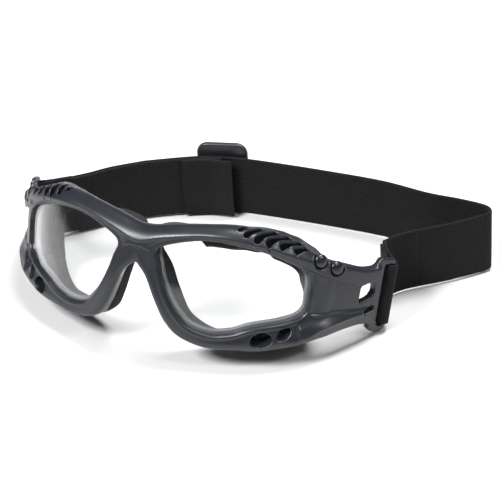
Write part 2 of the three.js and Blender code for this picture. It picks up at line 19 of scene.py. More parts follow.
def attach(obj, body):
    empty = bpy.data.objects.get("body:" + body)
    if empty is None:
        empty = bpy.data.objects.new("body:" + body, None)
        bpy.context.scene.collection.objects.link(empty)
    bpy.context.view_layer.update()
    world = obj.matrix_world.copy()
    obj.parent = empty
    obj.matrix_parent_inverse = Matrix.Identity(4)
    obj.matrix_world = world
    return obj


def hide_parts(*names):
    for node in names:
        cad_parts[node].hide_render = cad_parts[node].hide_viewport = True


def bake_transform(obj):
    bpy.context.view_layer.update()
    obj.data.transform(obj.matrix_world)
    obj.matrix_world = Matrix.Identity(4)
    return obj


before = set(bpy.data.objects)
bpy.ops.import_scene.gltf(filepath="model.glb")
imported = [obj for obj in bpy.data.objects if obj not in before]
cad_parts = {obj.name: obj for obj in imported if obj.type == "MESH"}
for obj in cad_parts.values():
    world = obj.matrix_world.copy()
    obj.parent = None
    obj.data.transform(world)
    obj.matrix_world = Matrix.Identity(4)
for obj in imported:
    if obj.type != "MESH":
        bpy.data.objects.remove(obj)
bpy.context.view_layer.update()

LOG = logging.getLogger("goggles")
FOOTPRINT_MIDDLE = np.array([8.9, 10.2, 0.0])
MM = 0.001
SIDES = {"left": 1.0, "right": -1.0}
Colour = tuple[float, float, float]


class Body(str, Enum):
    """The rigid bodies that pieces ride on."""

    FRAME = "frame"
    LOOP_LEFT = "strap_end_left"
    LOOP_RIGHT = "strap_end_right"
    REAR = "strap_rear"
    SLIDER = "slider"


# ---------------------------------------------------------------- numbers


def to_row(points: np.ndarray) -> np.ndarray:
    """Millimetres in the maker's frame as metres in the row frame."""
    return (np.asarray(points) - FOOTPRINT_MIDDLE) * MM


def smooth_max(a: np.ndarray, b: np.ndarray, radius: float | np.ndarray) -> np.ndarray:
    """The larger of a and b, rounded where they are within radius of each other."""
    share = np.clip(0.5 + 0.5 * (a - b) / radius, 0.0, 1.0)
    return b + (a - b) * share + radius * share * (1.0 - share)


def smooth_min(a: np.ndarray, b: np.ndarray, radius: float) -> np.ndarray:
    """The smaller of a and b, rounded where they are within radius of each other."""
    return -smooth_max(-a, -b, radius)


def smoothstep(low: float, high: float, value: np.ndarray) -> np.ndarray:
    """0 at low, 1 at high, 3s^2 - 2s^3 between and level beyond. It falls where low is above high."""
    s = np.clip((value - low) / (high - low), 0.0, 1.0)
    return s * s * (3.0 - 2.0 * s)


def bell(offset: np.ndarray, width: float) -> np.ndarray:
    """A rounded ridge: exp(-(offset / width)^2)."""
    return np.exp(-((offset / width) ** 2))


def bar_distance(a: np.ndarray, b: np.ndarray, bar: Sequence[float]) -> np.ndarray:
    """Distance to a flat bar with round ends.

    Args:
        a: First coordinate of the points.
        b: Second coordinate of the points.
        bar: a and b of one end, a and b of the other, and the bar's radius.

    Returns:
        The distance, negative inside.
    """
    a0, b0, a1, b1, radius = bar
    run_a, run_b = a1 - a0, b1 - b0
    s = np.clip(((a - a0) * run_a + (b - b0) * run_b) / (run_a * run_a + run_b * run_b), 0, 1)
    return np.hypot(a - a0 - s * run_a, b - b0 - s * run_b) - radius


def box_distance(
    a: np.ndarray, b: np.ndarray, half_a: float, half_b: float, corner: float
) -> np.ndarray:
    """Distance to a flat box about the origin, with rounded corners.

    Args:
        a: First coordinate of the points.
        b: Second coordinate of the points.
        half_a: Half the box's size along a.
        half_b: Half the box's size along b.
        corner: The corners' radius.

    Returns:
        The distance, negative inside.
    """
    over_a, over_b = np.abs(a) - half_a + corner, np.abs(b) - half_b + corner
    beyond = np.hypot(np.maximum(over_a, 0), np.maximum(over_b, 0))
    return beyond + np.minimum(np.maximum(over_a, over_b), 0) - corner


def rounded_circle(angle: np.ndarray, power: float) -> tuple[np.ndarray, np.ndarray]:
    """A superellipse: sign(c) |c|^power and sign(s) |s|^power of the angle's cosine and sine."""
    c, s = np.cos(angle), np.sin(angle)
    return np.sign(c) * np.abs(c) ** power, np.sign(s) * np.abs(s) ** power


def unit(vectors: np.ndarray) -> np.ndarray:
    """Vectors scaled to length 1 along the last axis."""
    return vectors / np.maximum(np.linalg.norm(vectors, axis=-1, keepdims=True), 1e-12)


def catmull(points: np.ndarray, t: np.ndarray, closed: bool) -> np.ndarray:
    """Uniform Catmull-Rom spline: cubic Hermite with tangents of half the neighbours' difference.

    Args:
        points: Control points, one a row.
        t: Shares along the curve, 0 to 1.
        closed: Whether the last point joins the first.

    Returns:
        One point for each share.
    """
    points = np.asarray(points, float)
    count = len(points)
    spans = count if closed else count - 1
    place = np.asarray(t) * spans
    i = np.clip(np.floor(place).astype(int), 0, spans - 1)
    s = (place - i)[:, None]

    def at(k: np.ndarray) -> np.ndarray:
        """Control points by number, going round or staying at the ends."""
        return points[k % count] if closed else points[np.clip(k, 0, count - 1)]

    p0, p1, p2, p3 = at(i - 1), at(i), at(i + 1), at(i + 2)
    m1, m2 = 0.5 * (p2 - p0), 0.5 * (p3 - p1)
    s2, s3 = s * s, s * s * s
    return (2 * s3 - 3 * s2 + 1) * p1 + (s3 - 2 * s2 + s) * m1 + (3 * s2 - 2 * s3) * p2 + (s3 - s2) * m2


def lengths_along(path: np.ndarray) -> np.ndarray:
    """Length from a path's start to each of its points."""
    return np.concatenate([[0], np.cumsum(np.linalg.norm(np.diff(path, axis=0), axis=1))])


def even_path(points: Sequence[Sequence[float]], count: int) -> np.ndarray:
    """A spline through the points, read at places an equal length apart.

    Args:
        points: Points that the path goes through.
        count: How many points to return.

    Returns:
        The path's points.
    """
    dense = catmull(np.array(points, float), np.linspace(0, 1, 40 * len(points)), False)
    length = lengths_along(dense)
    wanted = np.linspace(0, length[-1], count)
    return np.stack([np.interp(wanted, length, dense[:, k]) for k in range(dense.shape[1])], axis=1)


# ---------------------------------------------------------------- meshes


def grid_faces(rows: int, columns: int, ring: bool, tube: bool) -> np.ndarray:
    """Quads of a grid of points that are numbered row by row.

    Args:
        rows: Number of rows.
        columns: Points in a row.
        ring: Whether the last row joins the first.
        tube: Whether the last column joins the first.

    Returns:
        Quads, each as four point numbers.
    """
    i = np.arange(rows if ring else rows - 1)[:, None]
    j = np.arange(columns if tube else columns - 1)[None, :]
    here, there = i * columns, ((i + 1) % rows) * columns
    k = (j + 1) % columns
    return np.stack(np.broadcast_arrays(here + j, there + j, there + k, here + k), -1).reshape(-1, 4)


def fan(hub: int, ring: np.ndarray, reverse: bool) -> np.ndarray:
    """Triangles from a hub to each two neighbours on a closed ring of point numbers."""
    here, there = (np.roll(ring, -1), ring) if reverse else (ring, np.roll(ring, -1))
    return np.stack([np.full(len(ring), hub), here, there], 1)


def capped_tube(
    rows: np.ndarray, hubs: np.ndarray | None = None
) -> tuple[np.ndarray, list[np.ndarray]]:
    """A tube of sections, closed at each end by a fan of triangles round a hub.

    Args:
        rows: Points as (sections, steps, 3).
        hubs: The two hubs, or None for the middles of the end sections.

    Returns:
        The points with the hubs last, and a list of quads, first fan and last fan.
    """
    count, steps = rows.shape[:2]
    hubs = np.stack([rows[0].mean(0), rows[-1].mean(0)]) if hubs is None else hubs
    points = np.concatenate([rows.reshape(-1, 3), hubs])
    ring = np.arange(steps)
    ends = [fan(len(points) - 2, ring, False), fan(len(points) - 1, (count - 1) * steps + ring, True)]
    return points, [grid_faces(count, steps, False, True), *ends]


def volume_of(points: np.ndarray, face_sets: Sequence[np.ndarray]) -> float:
    """Six times the signed volume in the faces: the sum of a . (b x c) over their triangles.

    Args:
        points: The vertices.
        face_sets: Arrays of quads or triangles.

    Returns:
        The sum, positive where the faces turn outwards.
    """
    total = 0.0
    for faces in face_sets:
        for k in range(1, faces.shape[1] - 1):
            a, b, c = points[faces[:, 0]], points[faces[:, k]], points[faces[:, k + 1]]
            total += float(np.einsum("ij,ij->", a, np.cross(b, c)))
    return total


def outward(points: np.ndarray, face_sets: Sequence[np.ndarray]) -> list[np.ndarray]:
    """The face sets, turned round if they face the volume that they enclose."""
    kept = volume_of(points, face_sets) > 0
    return [faces if kept else faces[:, ::-1] for faces in face_sets]


def make_piece(
    name: str,
    vertices: np.ndarray,
    face_sets: Sequence[np.ndarray],
    uv: np.ndarray | None = None,
    flat_ends: bool = False,
) -> bpy.types.Object:
    """A smooth-shaded mesh object from points in the maker's frame.

    Args:
        name: The piece's name.
        vertices: Points in millimetres.
        face_sets: Arrays of quads or triangles, all turned the same way.
        uv: One pair for each face corner, in the order of the faces, or None.
        flat_ends: Whether every face set after the first is an end, shaded flat.

    Returns:
        The new object, with its place in its mesh.
    """
    mesh = bpy.data.meshes.new(name)
    sizes = np.concatenate([np.full(len(f), f.shape[1]) for f in face_sets])
    corners = np.concatenate([f.reshape(-1) for f in face_sets])
    mesh.vertices.add(len(vertices))
    mesh.vertices.foreach_set("co", to_row(vertices).astype(np.float32).ravel())
    mesh.loops.add(len(corners))
    mesh.loops.foreach_set("vertex_index", corners.astype(np.int32))
    mesh.polygons.add(len(sizes))
    starts = np.concatenate([[0], np.cumsum(sizes)[:-1]]).astype(np.int32)
    mesh.polygons.foreach_set("loop_start", starts)
    smooth = np.arange(len(sizes)) < (len(face_sets[0]) if flat_ends else len(sizes))
    mesh.polygons.foreach_set("use_smooth", smooth)
    mesh.update(calc_edges=True)
    if uv is not None:
        layer = mesh.uv_layers.new(name="UVMap")
        layer.data.foreach_set("uv", uv.astype(np.float32).ravel())
    mesh.validate()
    piece = bpy.data.objects.new(name, mesh)
    bpy.context.scene.collection.objects.link(piece)
    return piece


def closed_sweep(name: str, rows: np.ndarray, ring: bool) -> bpy.types.Object:
    """A closed piece from a row of sections.

    Args:
        name: The piece's name.
        rows: Points as (sections, steps, 3), in millimetres.
        ring: Whether the last section joins the first; if not, the ends are capped.

    Returns:
        The piece.
    """
    if ring:
        points, sets = rows.reshape(-1, 3), [grid_faces(*rows.shape[:2], True, True)]
    else:
        points, sets = capped_tube(rows)
    return make_piece(name, points, outward(points, sets))


def surface_net(values: np.ndarray, start: np.ndarray, step: float) -> tuple[np.ndarray, np.ndarray]:
    """The zero surface of a field on a regular grid.

    Each cell that the surface crosses gets one point, the mean of its edges' crossings, and each
    crossed edge joins its four cells with a quad.

    Args:
        values: Field, negative inside, with no crossing on its outer layer.
        start: Place of the first grid point.
        step: Grid spacing.

    Returns:
        Points and quads.
    """
    inside = values < 0
    shape = np.array(values.shape)
    corners = np.array([[a, b, c] for a in (0, 1) for b in (0, 1) for c in (0, 1)])
    count = np.zeros(shape - 1, np.int8)
    for a, b, c in corners:
        count += inside[a : shape[0] - 1 + a, b : shape[1] - 1 + b, c : shape[2] - 1 + c]
    cells = np.argwhere((count > 0) & (count < 8))
    index = np.full(shape - 1, -1, np.int64)
    index[tuple(cells.T)] = np.arange(len(cells))
    total, hits = np.zeros((len(cells), 3)), np.zeros(len(cells))
    for first in corners:
        for axis in np.flatnonzero(first == 0):
            way = np.eye(3, dtype=int)[axis]
            p, q = cells + first, cells + first + way
            vp, vq = values[tuple(p.T)], values[tuple(q.T)]
            crossed = (vp < 0) != (vq < 0)
            share = np.where(crossed, vp / np.where(crossed, vp - vq, 1), 0)
            total += (first + share[:, None] * way) * crossed[:, None]
            hits += crossed
    points = start + step * (cells + total / hits[:, None])
    quads = []
    for axis in range(3):
        u, v = [k for k in range(3) if k != axis]
        low = np.moveaxis(inside, axis, 0)
        edge = np.argwhere(np.moveaxis(low[1:] != low[:-1], 0, axis))
        edge = edge[(edge[:, u] > 0) & (edge[:, v] > 0)]
        ring = []
        for du, dv in ((1, 1), (0, 1), (0, 0), (1, 0)):
            cell = edge.copy()
            cell[:, u] -= du
            cell[:, v] -= dv
            ring.append(index[tuple(cell.T)])
        quad = np.stack(ring, 1)
        flip = inside[tuple(edge.T)] ^ (axis == 1)
        quads.append(np.where(flip[:, None], quad, quad[:, ::-1]))
    return points, np.concatenate(quads)


def relax(points: np.ndarray, faces: np.ndarray, rounds: int) -> np.ndarray:
    """Points drawn half way to the mean of their neighbours, again and again.

    Args:
        points: The vertices.
        faces: Quads.
        rounds: How many times.

    Returns:
        The moved points.
    """
    edges = np.concatenate([faces[:, [k, (k + 1) % 4]] for k in range(4)])
    edges = np.concatenate([edges, edges[:, ::-1]])
    number = np.bincount(edges[:, 0], minlength=len(points))[:, None]
    for _ in range(rounds):
        mean = [np.bincount(edges[:, 0], points[edges[:, 1], k], len(points)) for k in range(3)]
        points = 0.5 * points + 0.5 * np.stack(mean, 1) / np.maximum(number, 1)
    return points


def largest_body(points: np.ndarray, faces: np.ndarray) -> tuple[np.ndarray, np.ndarray]:
    """The connected body with the most points, without any stray crumbs.

    Labels spread over the faces, each point taking the lowest label next to it, until none changes.

    Args:
        points: The vertices.
        faces: Quads.

    Returns:
        The points and quads that are kept.
    """
    label = np.arange(len(points))
    while True:
        lowest = label[faces].min(axis=1)
        spread = label.copy()
        for k in range(faces.shape[1]):
            np.minimum.at(spread, faces[:, k], lowest)
        spread = spread[spread]
        if np.array_equal(spread, label):
            break
        label = spread
    kept = label == np.bincount(label).argmax()
    number = np.cumsum(kept) - 1
    return points[kept], number[faces[kept[faces[:, 0]]]]


# ---------------------------------------------------------------- the wrap surface and the eye


@dataclass(frozen=True)
class Wrap:
    """The surface that the whole front follows: depth Y as a low polynomial of x and z."""

    front: float = -41.8
    middle_z: float = 26.5
    bow: float = 10.25
    tight: float = 5.66
    lean: float = 4.5
    belly: float = 3.6
    twist: float = 1.8
    half_span: float = 50.0
    half_rise: float = 20.0
    low_x: float = -3.0
    high_x: float = 79.0

    def y(self, x: np.ndarray, z: np.ndarray) -> np.ndarray:
        """The surface's Y.

        It is front + bow w + tight w^2 + lean h + belly h^2 + twist w h, where w is x over the half
        span, squared, and h is the height above the middle over the half rise.

        Args:
            x: Places across.
            z: Heights.

        Returns:
            Y at each place.
        """
        w, h = (x / self.half_span) ** 2, (z - self.middle_z) / self.half_rise
        level = self.front + self.lean * h + self.belly * h * h
        return level + self.bow * w + self.tight * w * w + self.twist * w * h

    def slope(self, x: np.ndarray, z: np.ndarray) -> np.ndarray:
        """How fast Y grows with x.

        Args:
            x: Places across.
            z: Heights.

        Returns:
            The slope at each place.
        """
        h = (z - self.middle_z) / self.half_rise
        linear = 2 * x / self.half_span**2 * (self.bow + self.twist * h)
        return linear + 4 * self.tight * x**3 / self.half_span**4

    def point(self, x: np.ndarray, z: np.ndarray, depth: np.ndarray) -> np.ndarray:
        """Points pushed in behind the surface, along its normal in plan.

        Args:
            x: Places across, on the surface.
            z: Heights.
            depth: How far behind the surface.

        Returns:
            Points as (..., 3).
        """
        x, z, depth = np.broadcast_arrays(x, z, depth)
        slope = self.slope(x, z)
        length = np.sqrt(1 + slope * slope)
        return np.stack([x - slope / length * depth, self.y(x, z) + depth / length, z], -1)

    def foot(self, points: np.ndarray) -> tuple[np.ndarray, np.ndarray]:
        """The nearest spot on the surface at each point's height.

        Newton's method on the condition that the offset is square to the surface in plan.

        Args:
            points: Points as (..., 3).

        Returns:
            The spots' x, and the points' depths behind the surface.
        """
        px, py, z = points[..., 0], points[..., 1], points[..., 2]
        x = np.clip(px, self.low_x, self.high_x - 2)
        for _ in range(7):
            slope = self.slope(x, z)
            bend = 2 / self.half_span**2 * self.bow + 12 * self.tight * x * x / self.half_span**4
            off = py - self.y(x, z)
            error = (px - x) + off * slope
            x = x + error / np.maximum(1 + slope * slope - off * bend, 0.3)
            x = np.clip(x, self.low_x, self.high_x)
        slope = self.slope(x, z)
        length = np.sqrt(1 + slope * slope)
        return x, ((x - px) * slope + (py - self.y(x, z))) / length


WRAP = Wrap()


@dataclass(frozen=True)
class Eye:
    """The eye opening and the edge of the ring of frame round it, as splines through stations."""

    depth: float = 9.0
    nose_depth: float = 5.2
    lens_front: float = 0.9
    lens_back: float = 2.9

    MIDDLE = np.array([33.0, 29.0])
    # opening x, z; outer x, z; how far the outer edge stands out; how far the back spreads
    STATIONS = np.array(
        [
            [58.4, 25.3, 64.0, 25.5, 0.0, 0.5],
            [57.5, 32.8, 61.5, 35.6, 1.4, 0.4],
            [50.4, 39.3, 52.2, 42.6, 2.0, 0.3],
            [39.5, 44.7, 40.8, 48.2, 2.0, 0.2],
            [24.3, 47.2, 24.4, 51.2, 1.6, 0.2],
            [8.9, 43.6, -1.5, 47.6, 1.2, 0.0],
            [9.3, 37.6, -1.5, 39.6, 0.6, -1.0],
            [11.5, 31.6, 4.3, 33.4, 0.6, -1.0],
            [14.6, 25.3, 8.2, 25.6, 0.6, 0.0],
            [17.6, 20.9, 12.2, 17.9, 0.6, 0.8],
            [21.6, 16.9, 17.3, 12.3, 0.6, 2.0],
            [28.5, 14.7, 26.5, 8.9, 0.8, 3.5],
            [36.1, 15.2, 37.0, 8.4, 1.2, 4.6],
            [43.0, 17.1, 47.5, 7.6, 2.4, 5.0],
            [56.1, 18.2, 60.5, 10.0, 3.2, 3.0],
        ]
    )

    def back(self, x: np.ndarray, z: np.ndarray) -> np.ndarray:
        """Depth of the moulding's back edge: shallower beside the nose, where foam takes over."""
        beside_nose = smoothstep(20, 13, x) * smoothstep(42, 36, z)
        return self.depth - (self.depth - self.nose_depth) * beside_nose

    def at(self, t: np.ndarray) -> dict[str, np.ndarray]:
        """The stations' values at any places round the eye.

        Args:
            t: Shares round the eye, 0 to 1.

        Returns:
            Opening point, outer point, outward direction, width, stand-out and spread, by name.
        """
        row = catmull(self.STATIONS, t, True)
        out = row[:, 2:4] - row[:, 0:2]
        width = np.linalg.norm(out, axis=1)
        return {
            "inner": row[:, 0:2],
            "outer": row[:, 2:4],
            "out": out / width[:, None],
            "width": width,
            "proud": row[:, 4],
            "flare": row[:, 5],
        }

    def sweep(
        self,
        corners: Callable[[dict[str, np.ndarray]], Sequence[tuple]],
        shares: np.ndarray,
        steps: int,
        power: float,
    ) -> np.ndarray:
        """A four-cornered section rounded as a superellipse, carried round the eye.

        Args:
            corners: Gives the section's front-in, front-out, back-out and back-in corners as
                (reach from the opening, depth behind the surface).
            shares: Places round the eye, 0 to 1.
            steps: Points round the section.
            power: The superellipse's power; 2 is an ellipse, and more is squarer.

        Returns:
            Points as (places, steps, 3).
        """
        ring = self.at(shares)
        angle = 2 * math.pi * (np.arange(steps) + 0.5) / steps
        a, b = ((side + 1) / 2 for side in rounded_circle(angle, 2 / power))
        columns = []
        for axis in (0, 1):
            fi, fo, bo, bi = (
                np.broadcast_to(c[axis], ring["width"].shape)[:, None] for c in corners(ring)
            )
            columns.append((1 - b) * ((1 - a) * fi + a * fo) + b * ((1 - a) * bi + a * bo))
        reach, depth = columns
        x = ring["inner"][:, 0:1] + ring["out"][:, 0:1] * reach
        z = ring["inner"][:, 1:2] + ring["out"][:, 1:2] * reach
        return WRAP.point(x, z, depth)


EYE = Eye()


# ---------------------------------------------------------------- shader effects and finishes


class Nodes:
    """A node tree, with short ways to add the nodes that the finishes use."""

    def __init__(self, tree: bpy.types.NodeTree) -> None:
        """Keeps the tree."""
        self.tree = tree

    def add(self, kind: str) -> bpy.types.Node:
        """A new node of a kind."""
        return self.tree.nodes.new(kind)

    def feed(self, socket: bpy.types.NodeSocket, value: float | bpy.types.NodeSocket) -> None:
        """Sets an input to a number, or links an output to it.

        Args:
            socket: The input.
            value: The number or the output.
        """
        if isinstance(value, (int, float)):
            socket.default_value = value
        else:
            self.tree.links.new(value, socket)

    def place(self, output: str) -> bpy.types.NodeSocket:
        """The Texture Coordinate node's output of that name."""
        return self.add("ShaderNodeTexCoord").outputs[output]

    def math(self, operation: str, *values: float | bpy.types.NodeSocket) -> bpy.types.NodeSocket:
        """A Math node's result.

        Args:
            operation: Blender's name for the operation.
            values: Numbers or output sockets, in the node's order.

        Returns:
            The output socket.
        """
        node = self.add("ShaderNodeMath")
        node.operation = operation
        for socket, value in zip(node.inputs, values):
            self.feed(socket, value)
        return node.outputs[0]

    def noise(
        self,
        vector: bpy.types.NodeSocket,
        scale: float | bpy.types.NodeSocket,
        detail: float,
        roughness: float = 0.5,
    ) -> bpy.types.NodeSocket:
        """A Noise texture's value.

        Args:
            vector: Where to read it.
            scale: Its scale.
            detail: Number of octaves.
            roughness: Strength of the finer octaves.

        Returns:
            The Fac output.
        """
        node = self.add("ShaderNodeTexNoise")
        node.inputs["Detail"].default_value = detail
        node.inputs["Roughness"].default_value = roughness
        self.feed(node.inputs["Vector"], vector)
        self.feed(node.inputs["Scale"], scale)
        return node.outputs["Fac"]

    def ramp(
        self,
        factor: bpy.types.NodeSocket,
        span: tuple[float, float],
        dark: Colour,
        light: Colour,
    ) -> bpy.types.NodeSocket:
        """A colour that runs from dark to light.

        Args:
            factor: What it follows.
            span: The factor's values at which the colour is dark and light.
            dark: The colour at the low end.
            light: The colour at the high end.

        Returns:
            The colour output.
        """
        node = self.add("ShaderNodeValToRGB")
        for element, position, colour in zip(node.color_ramp.elements, span, (dark, light)):
            element.position = position
            element.color = (*colour, 1)
        self.feed(node.inputs[0], factor)
        return node.outputs[0]

    def bump(
        self,
        shader: bpy.types.Node,
        height: bpy.types.NodeSocket,
        strength: float,
        distance: float,
    ) -> None:
        """Feeds a shader's normal from a height.

        Args:
            shader: The shader node.
            height: The height's socket.
            strength: The bump's strength.
            distance: The relief in metres that a height of 1 stands for.
        """
        node = self.add("ShaderNodeBump")
        node.inputs["Strength"].default_value = strength
        node.inputs["Distance"].default_value = distance
        self.feed(node.inputs["Height"], height)
        self.feed(shader.inputs["Normal"], node.outputs[0])

    def effect(
        self, group: bpy.types.NodeTree, vector: bpy.types.NodeSocket, values: dict[str, float]
    ) -> bpy.types.Node:
        """Places a shared effect.

        Args:
            group: The effect's node group.
            vector: Where the effect is read.
            values: This finish's own values, by input name.

        Returns:
            The group node.
        """
        node = self.add("ShaderNodeGroup")
        node.node_tree = group
        self.feed(node.inputs["Vector"], vector)
        for label, value in values.items():
            self.feed(node.inputs[label], value)
        return node


def new_effect(name: str, values: dict[str, float]) -> tuple[Nodes, bpy.types.Node, bpy.types.Node]:
    """An empty shader node group that takes a Vector and puts out a Height and a Patch.

    Args:
        name: The group's name.
        values: Its other inputs and what they are when nothing is set.

    Returns:
        The group's nodes, its input node and its output node.
    """
    group = bpy.data.node_groups.new(name, "ShaderNodeTree")
    group.interface.new_socket("Vector", in_out="INPUT", socket_type="NodeSocketVector")
    for label, value in values.items():
        socket = group.interface.new_socket(label, in_out="INPUT", socket_type="NodeSocketFloat")
        socket.default_value = value
    for label in ("Height", "Patch"):
        group.interface.new_socket(label, in_out="OUTPUT", socket_type="NodeSocketFloat")
    nodes = Nodes(group)
    return nodes, nodes.add("NodeGroupInput"), nodes.add("NodeGroupOutput")


def grain_group() -> bpy.types.NodeTree:
    """Moulded grain: fine noise for the bump, and slow noise as a mask for colour and gloss.

    Returns:
        The group.
    """
    nodes, source, sink = new_effect("moulded_grain", {"Scale": 900.0, "Depth": 1.0})
    place = source.outputs["Vector"]
    fine = nodes.noise(place, source.outputs["Scale"], detail=4.0, roughness=0.6)
    nodes.feed(sink.inputs["Height"], nodes.math("MULTIPLY", fine, source.outputs["Depth"]))
    nodes.feed(sink.inputs["Patch"], nodes.noise(place, 70.0, detail=3.0))
    return nodes.tree


def weave_group() -> bpy.types.NodeTree:
    """Knitted elastic: crossed sine ridges on the strap's own UV, with noise for loose fibres.

    Height is |sin across| times |sin (along + across / 2)|, with the fibres' noise added, and Patch
    is slow colour variation.

    Returns:
        The group.
    """
    nodes, source, sink = new_effect("elastic_weave", {"Along": 5200.0, "Across": 7000.0, "Fuzz": 0.4})
    place = source.outputs["Vector"]
    parts = nodes.add("ShaderNodeSeparateXYZ")
    nodes.feed(parts.inputs[0], place)
    along = nodes.math("MULTIPLY", parts.outputs[0], source.outputs["Along"])
    across = nodes.math("MULTIPLY", parts.outputs[1], source.outputs["Across"])
    warp = nodes.math("ABSOLUTE", nodes.math("SINE", across))
    shifted = nodes.math("ADD", along, nodes.math("MULTIPLY", across, 0.5))
    weft = nodes.math("ABSOLUTE", nodes.math("SINE", shifted))
    ridges = nodes.math("MULTIPLY", warp, weft)
    fibre = nodes.noise(place, 3500.0, detail=3.0, roughness=0.7)
    fuzz = nodes.math("MULTIPLY", fibre, source.outputs["Fuzz"])
    nodes.feed(sink.inputs["Height"], nodes.math("ADD", ridges, fuzz))
    nodes.feed(sink.inputs["Patch"], nodes.noise(place, 1000.0, detail=4.0, roughness=0.65))
    return nodes.tree


GRAIN = grain_group()
WEAVE = weave_group()


@dataclass(frozen=True)
class Finish:
    """A material: its name, and how its nodes are wired."""

    name: str

    def build(self) -> bpy.types.Material:
        """Makes the material.

        Returns:
            The finished material.
        """
        material = bpy.data.materials.new(self.name)
        material.use_nodes = True
        self.wire(Nodes(material.node_tree), material.node_tree.nodes["Principled BSDF"])
        return material

    def wire(self, nodes: Nodes, shader: bpy.types.Node) -> None:
        """Adds the finish's own nodes. Each kind of finish has its own way.

        Args:
            nodes: The material's nodes.
            shader: Its Principled shader.
        """
        raise NotImplementedError


@dataclass(frozen=True)
class PlasticFinish(Finish):
    """Moulded plastic: fine grain, a slow change of shade, and gloss that varies with it."""

    dark: Colour
    light: Colour
    gloss_low: float
    gloss_high: float
    scale: float = 1400.0
    grain: float = 0.25
    depth: float = 0.00002
    specular: float = 0.5

    def wire(self, nodes: Nodes, shader: bpy.types.Node) -> None:
        """Grain as bump, and its slow patches as colour and roughness.

        Args:
            nodes: The material's nodes.
            shader: Its Principled shader.
        """
        grain = nodes.effect(GRAIN, nodes.place("Object"), {"Scale": self.scale})
        patch = grain.outputs["Patch"]
        nodes.feed(shader.inputs["Base Color"], nodes.ramp(patch, (0.3, 0.7), self.dark, self.light))
        span = self.gloss_high - self.gloss_low
        nodes.feed(shader.inputs["Roughness"], nodes.math("MULTIPLY_ADD", patch, span, self.gloss_low))
        shader.inputs["Specular IOR Level"].default_value = self.specular
        nodes.bump(shader, grain.outputs["Height"], self.grain, self.depth)


@dataclass(frozen=True)
class FoamFinish(Finish):
    """Open or closed-cell foam: cells from a Voronoi texture, matt and nearly black."""

    dark: Colour
    light: Colour
    cell: float
    roughness: float = 0.9
    specular: float = 0.25
    pitting: float = 0.5
    depth: float = 0.0002

    def wire(self, nodes: Nodes, shader: bpy.types.Node) -> None:
        """Distance from the cells' middles as colour, with painted shade darkening the cell pits, and, with
        noise added, as bump.

        Args:
            nodes: The material's nodes.
            shader: Its Principled shader.
        """
        place = nodes.place("Object")
        cells = nodes.add("ShaderNodeTexVoronoi")
        cells.inputs["Scale"].default_value = self.cell
        nodes.feed(cells.inputs["Vector"], place)
        away = cells.outputs["Distance"]
        # The cells' middles are the pits of the bump, so their darker colour is painted shade.
        nodes.feed(shader.inputs["Base Color"], nodes.ramp(away, (0.0, 0.6), self.dark, self.light))
        shader.inputs["Roughness"].default_value = self.roughness
        shader.inputs["Specular IOR Level"].default_value = self.specular
        fuzz = nodes.noise(place, self.cell * 0.5, detail=3.0)
        nodes.bump(shader, nodes.math("ADD", away, fuzz), self.pitting, self.depth)


@dataclass(frozen=True)
class ElasticFinish(Finish):
    """Woven elastic on the strap's own UV, which is in metres along and across."""

    dark: Colour
    light: Colour
    along: float = 4200.0
    across: float = 6200.0
    fuzz: float = 0.5
    weave: float = 0.8
    relief: float = 0.00012
    smoothest: float = 0.72
    roughness_span: float = 0.2
    sheen: float = 0.03
    sheen_roughness: float = 0.5
    specular: float = 0.16

    def wire(self, nodes: Nodes, shader: bpy.types.Node) -> None:
        """The weave as bump, and its height times its patches as colour: painted shade darkens the weave's
        hollows, and the patches vary the tone slowly. Patches set the roughness.

        Args:
            nodes: The material's nodes.
            shader: Its Principled shader.
        """
        counts = {"Along": self.along, "Across": self.across, "Fuzz": self.fuzz}
        weave = nodes.effect(WEAVE, nodes.place("UV"), counts)
        height, patch = weave.outputs["Height"], weave.outputs["Patch"]
        # Colour follows the weave's height, so its hollows get painted shade; the slow patches add real tone
        # variation.
        weave_shade_and_tone = nodes.math("MULTIPLY", height, patch)
        nodes.feed(shader.inputs["Base Color"], nodes.ramp(weave_shade_and_tone, (0.2, 0.75), self.dark, self.light))
        rough = nodes.math("MULTIPLY_ADD", patch, self.roughness_span, self.smoothest)
        nodes.feed(shader.inputs["Roughness"], rough)
        shader.inputs["Sheen Weight"].default_value = self.sheen
        shader.inputs["Sheen Roughness"].default_value = self.sheen_roughness
        shader.inputs["Specular IOR Level"].default_value = self.specular
        nodes.bump(shader, height, self.weave, self.relief)


@dataclass(frozen=True)
class LensFinish(Finish):
    """Clear polycarbonate. Light from the lamps passes straight through it to what is behind."""

    tint: Colour = (0.875, 0.882, 0.888)
    ior: float = 1.45
    haze_scale: float = 40.0
    smoothest: float = 0.01
    roughness_span: float = 0.03
    light_passed: float = 0.97

    def wire(self, nodes: Nodes, shader: bpy.types.Node) -> None:
        """A transmitting shader that turns transparent for shadow rays.

        Args:
            nodes: The material's nodes.
            shader: Its Principled shader.
        """
        shader.inputs["Base Color"].default_value = (*self.tint, 1)
        shader.inputs["Transmission Weight"].default_value = 1.0
        shader.inputs["IOR"].default_value = self.ior
        haze = nodes.noise(nodes.place("Object"), self.haze_scale, detail=2.0)
        rough = nodes.math("MULTIPLY_ADD", haze, self.roughness_span, self.smoothest)
        nodes.feed(shader.inputs["Roughness"], rough)
        clear = nodes.add("ShaderNodeBsdfTransparent")
        clear.inputs["Color"].default_value = (*[self.light_passed] * 3, 1)
        mix = nodes.add("ShaderNodeMixShader")
        nodes.feed(mix.inputs[0], nodes.add("ShaderNodeLightPath").outputs["Is Shadow Ray"])
        nodes.feed(mix.inputs[1], shader.outputs[0])
        nodes.feed(mix.inputs[2], clear.outputs[0])
        nodes.feed(nodes.tree.nodes["Material Output"].inputs["Surface"], mix.outputs[0])


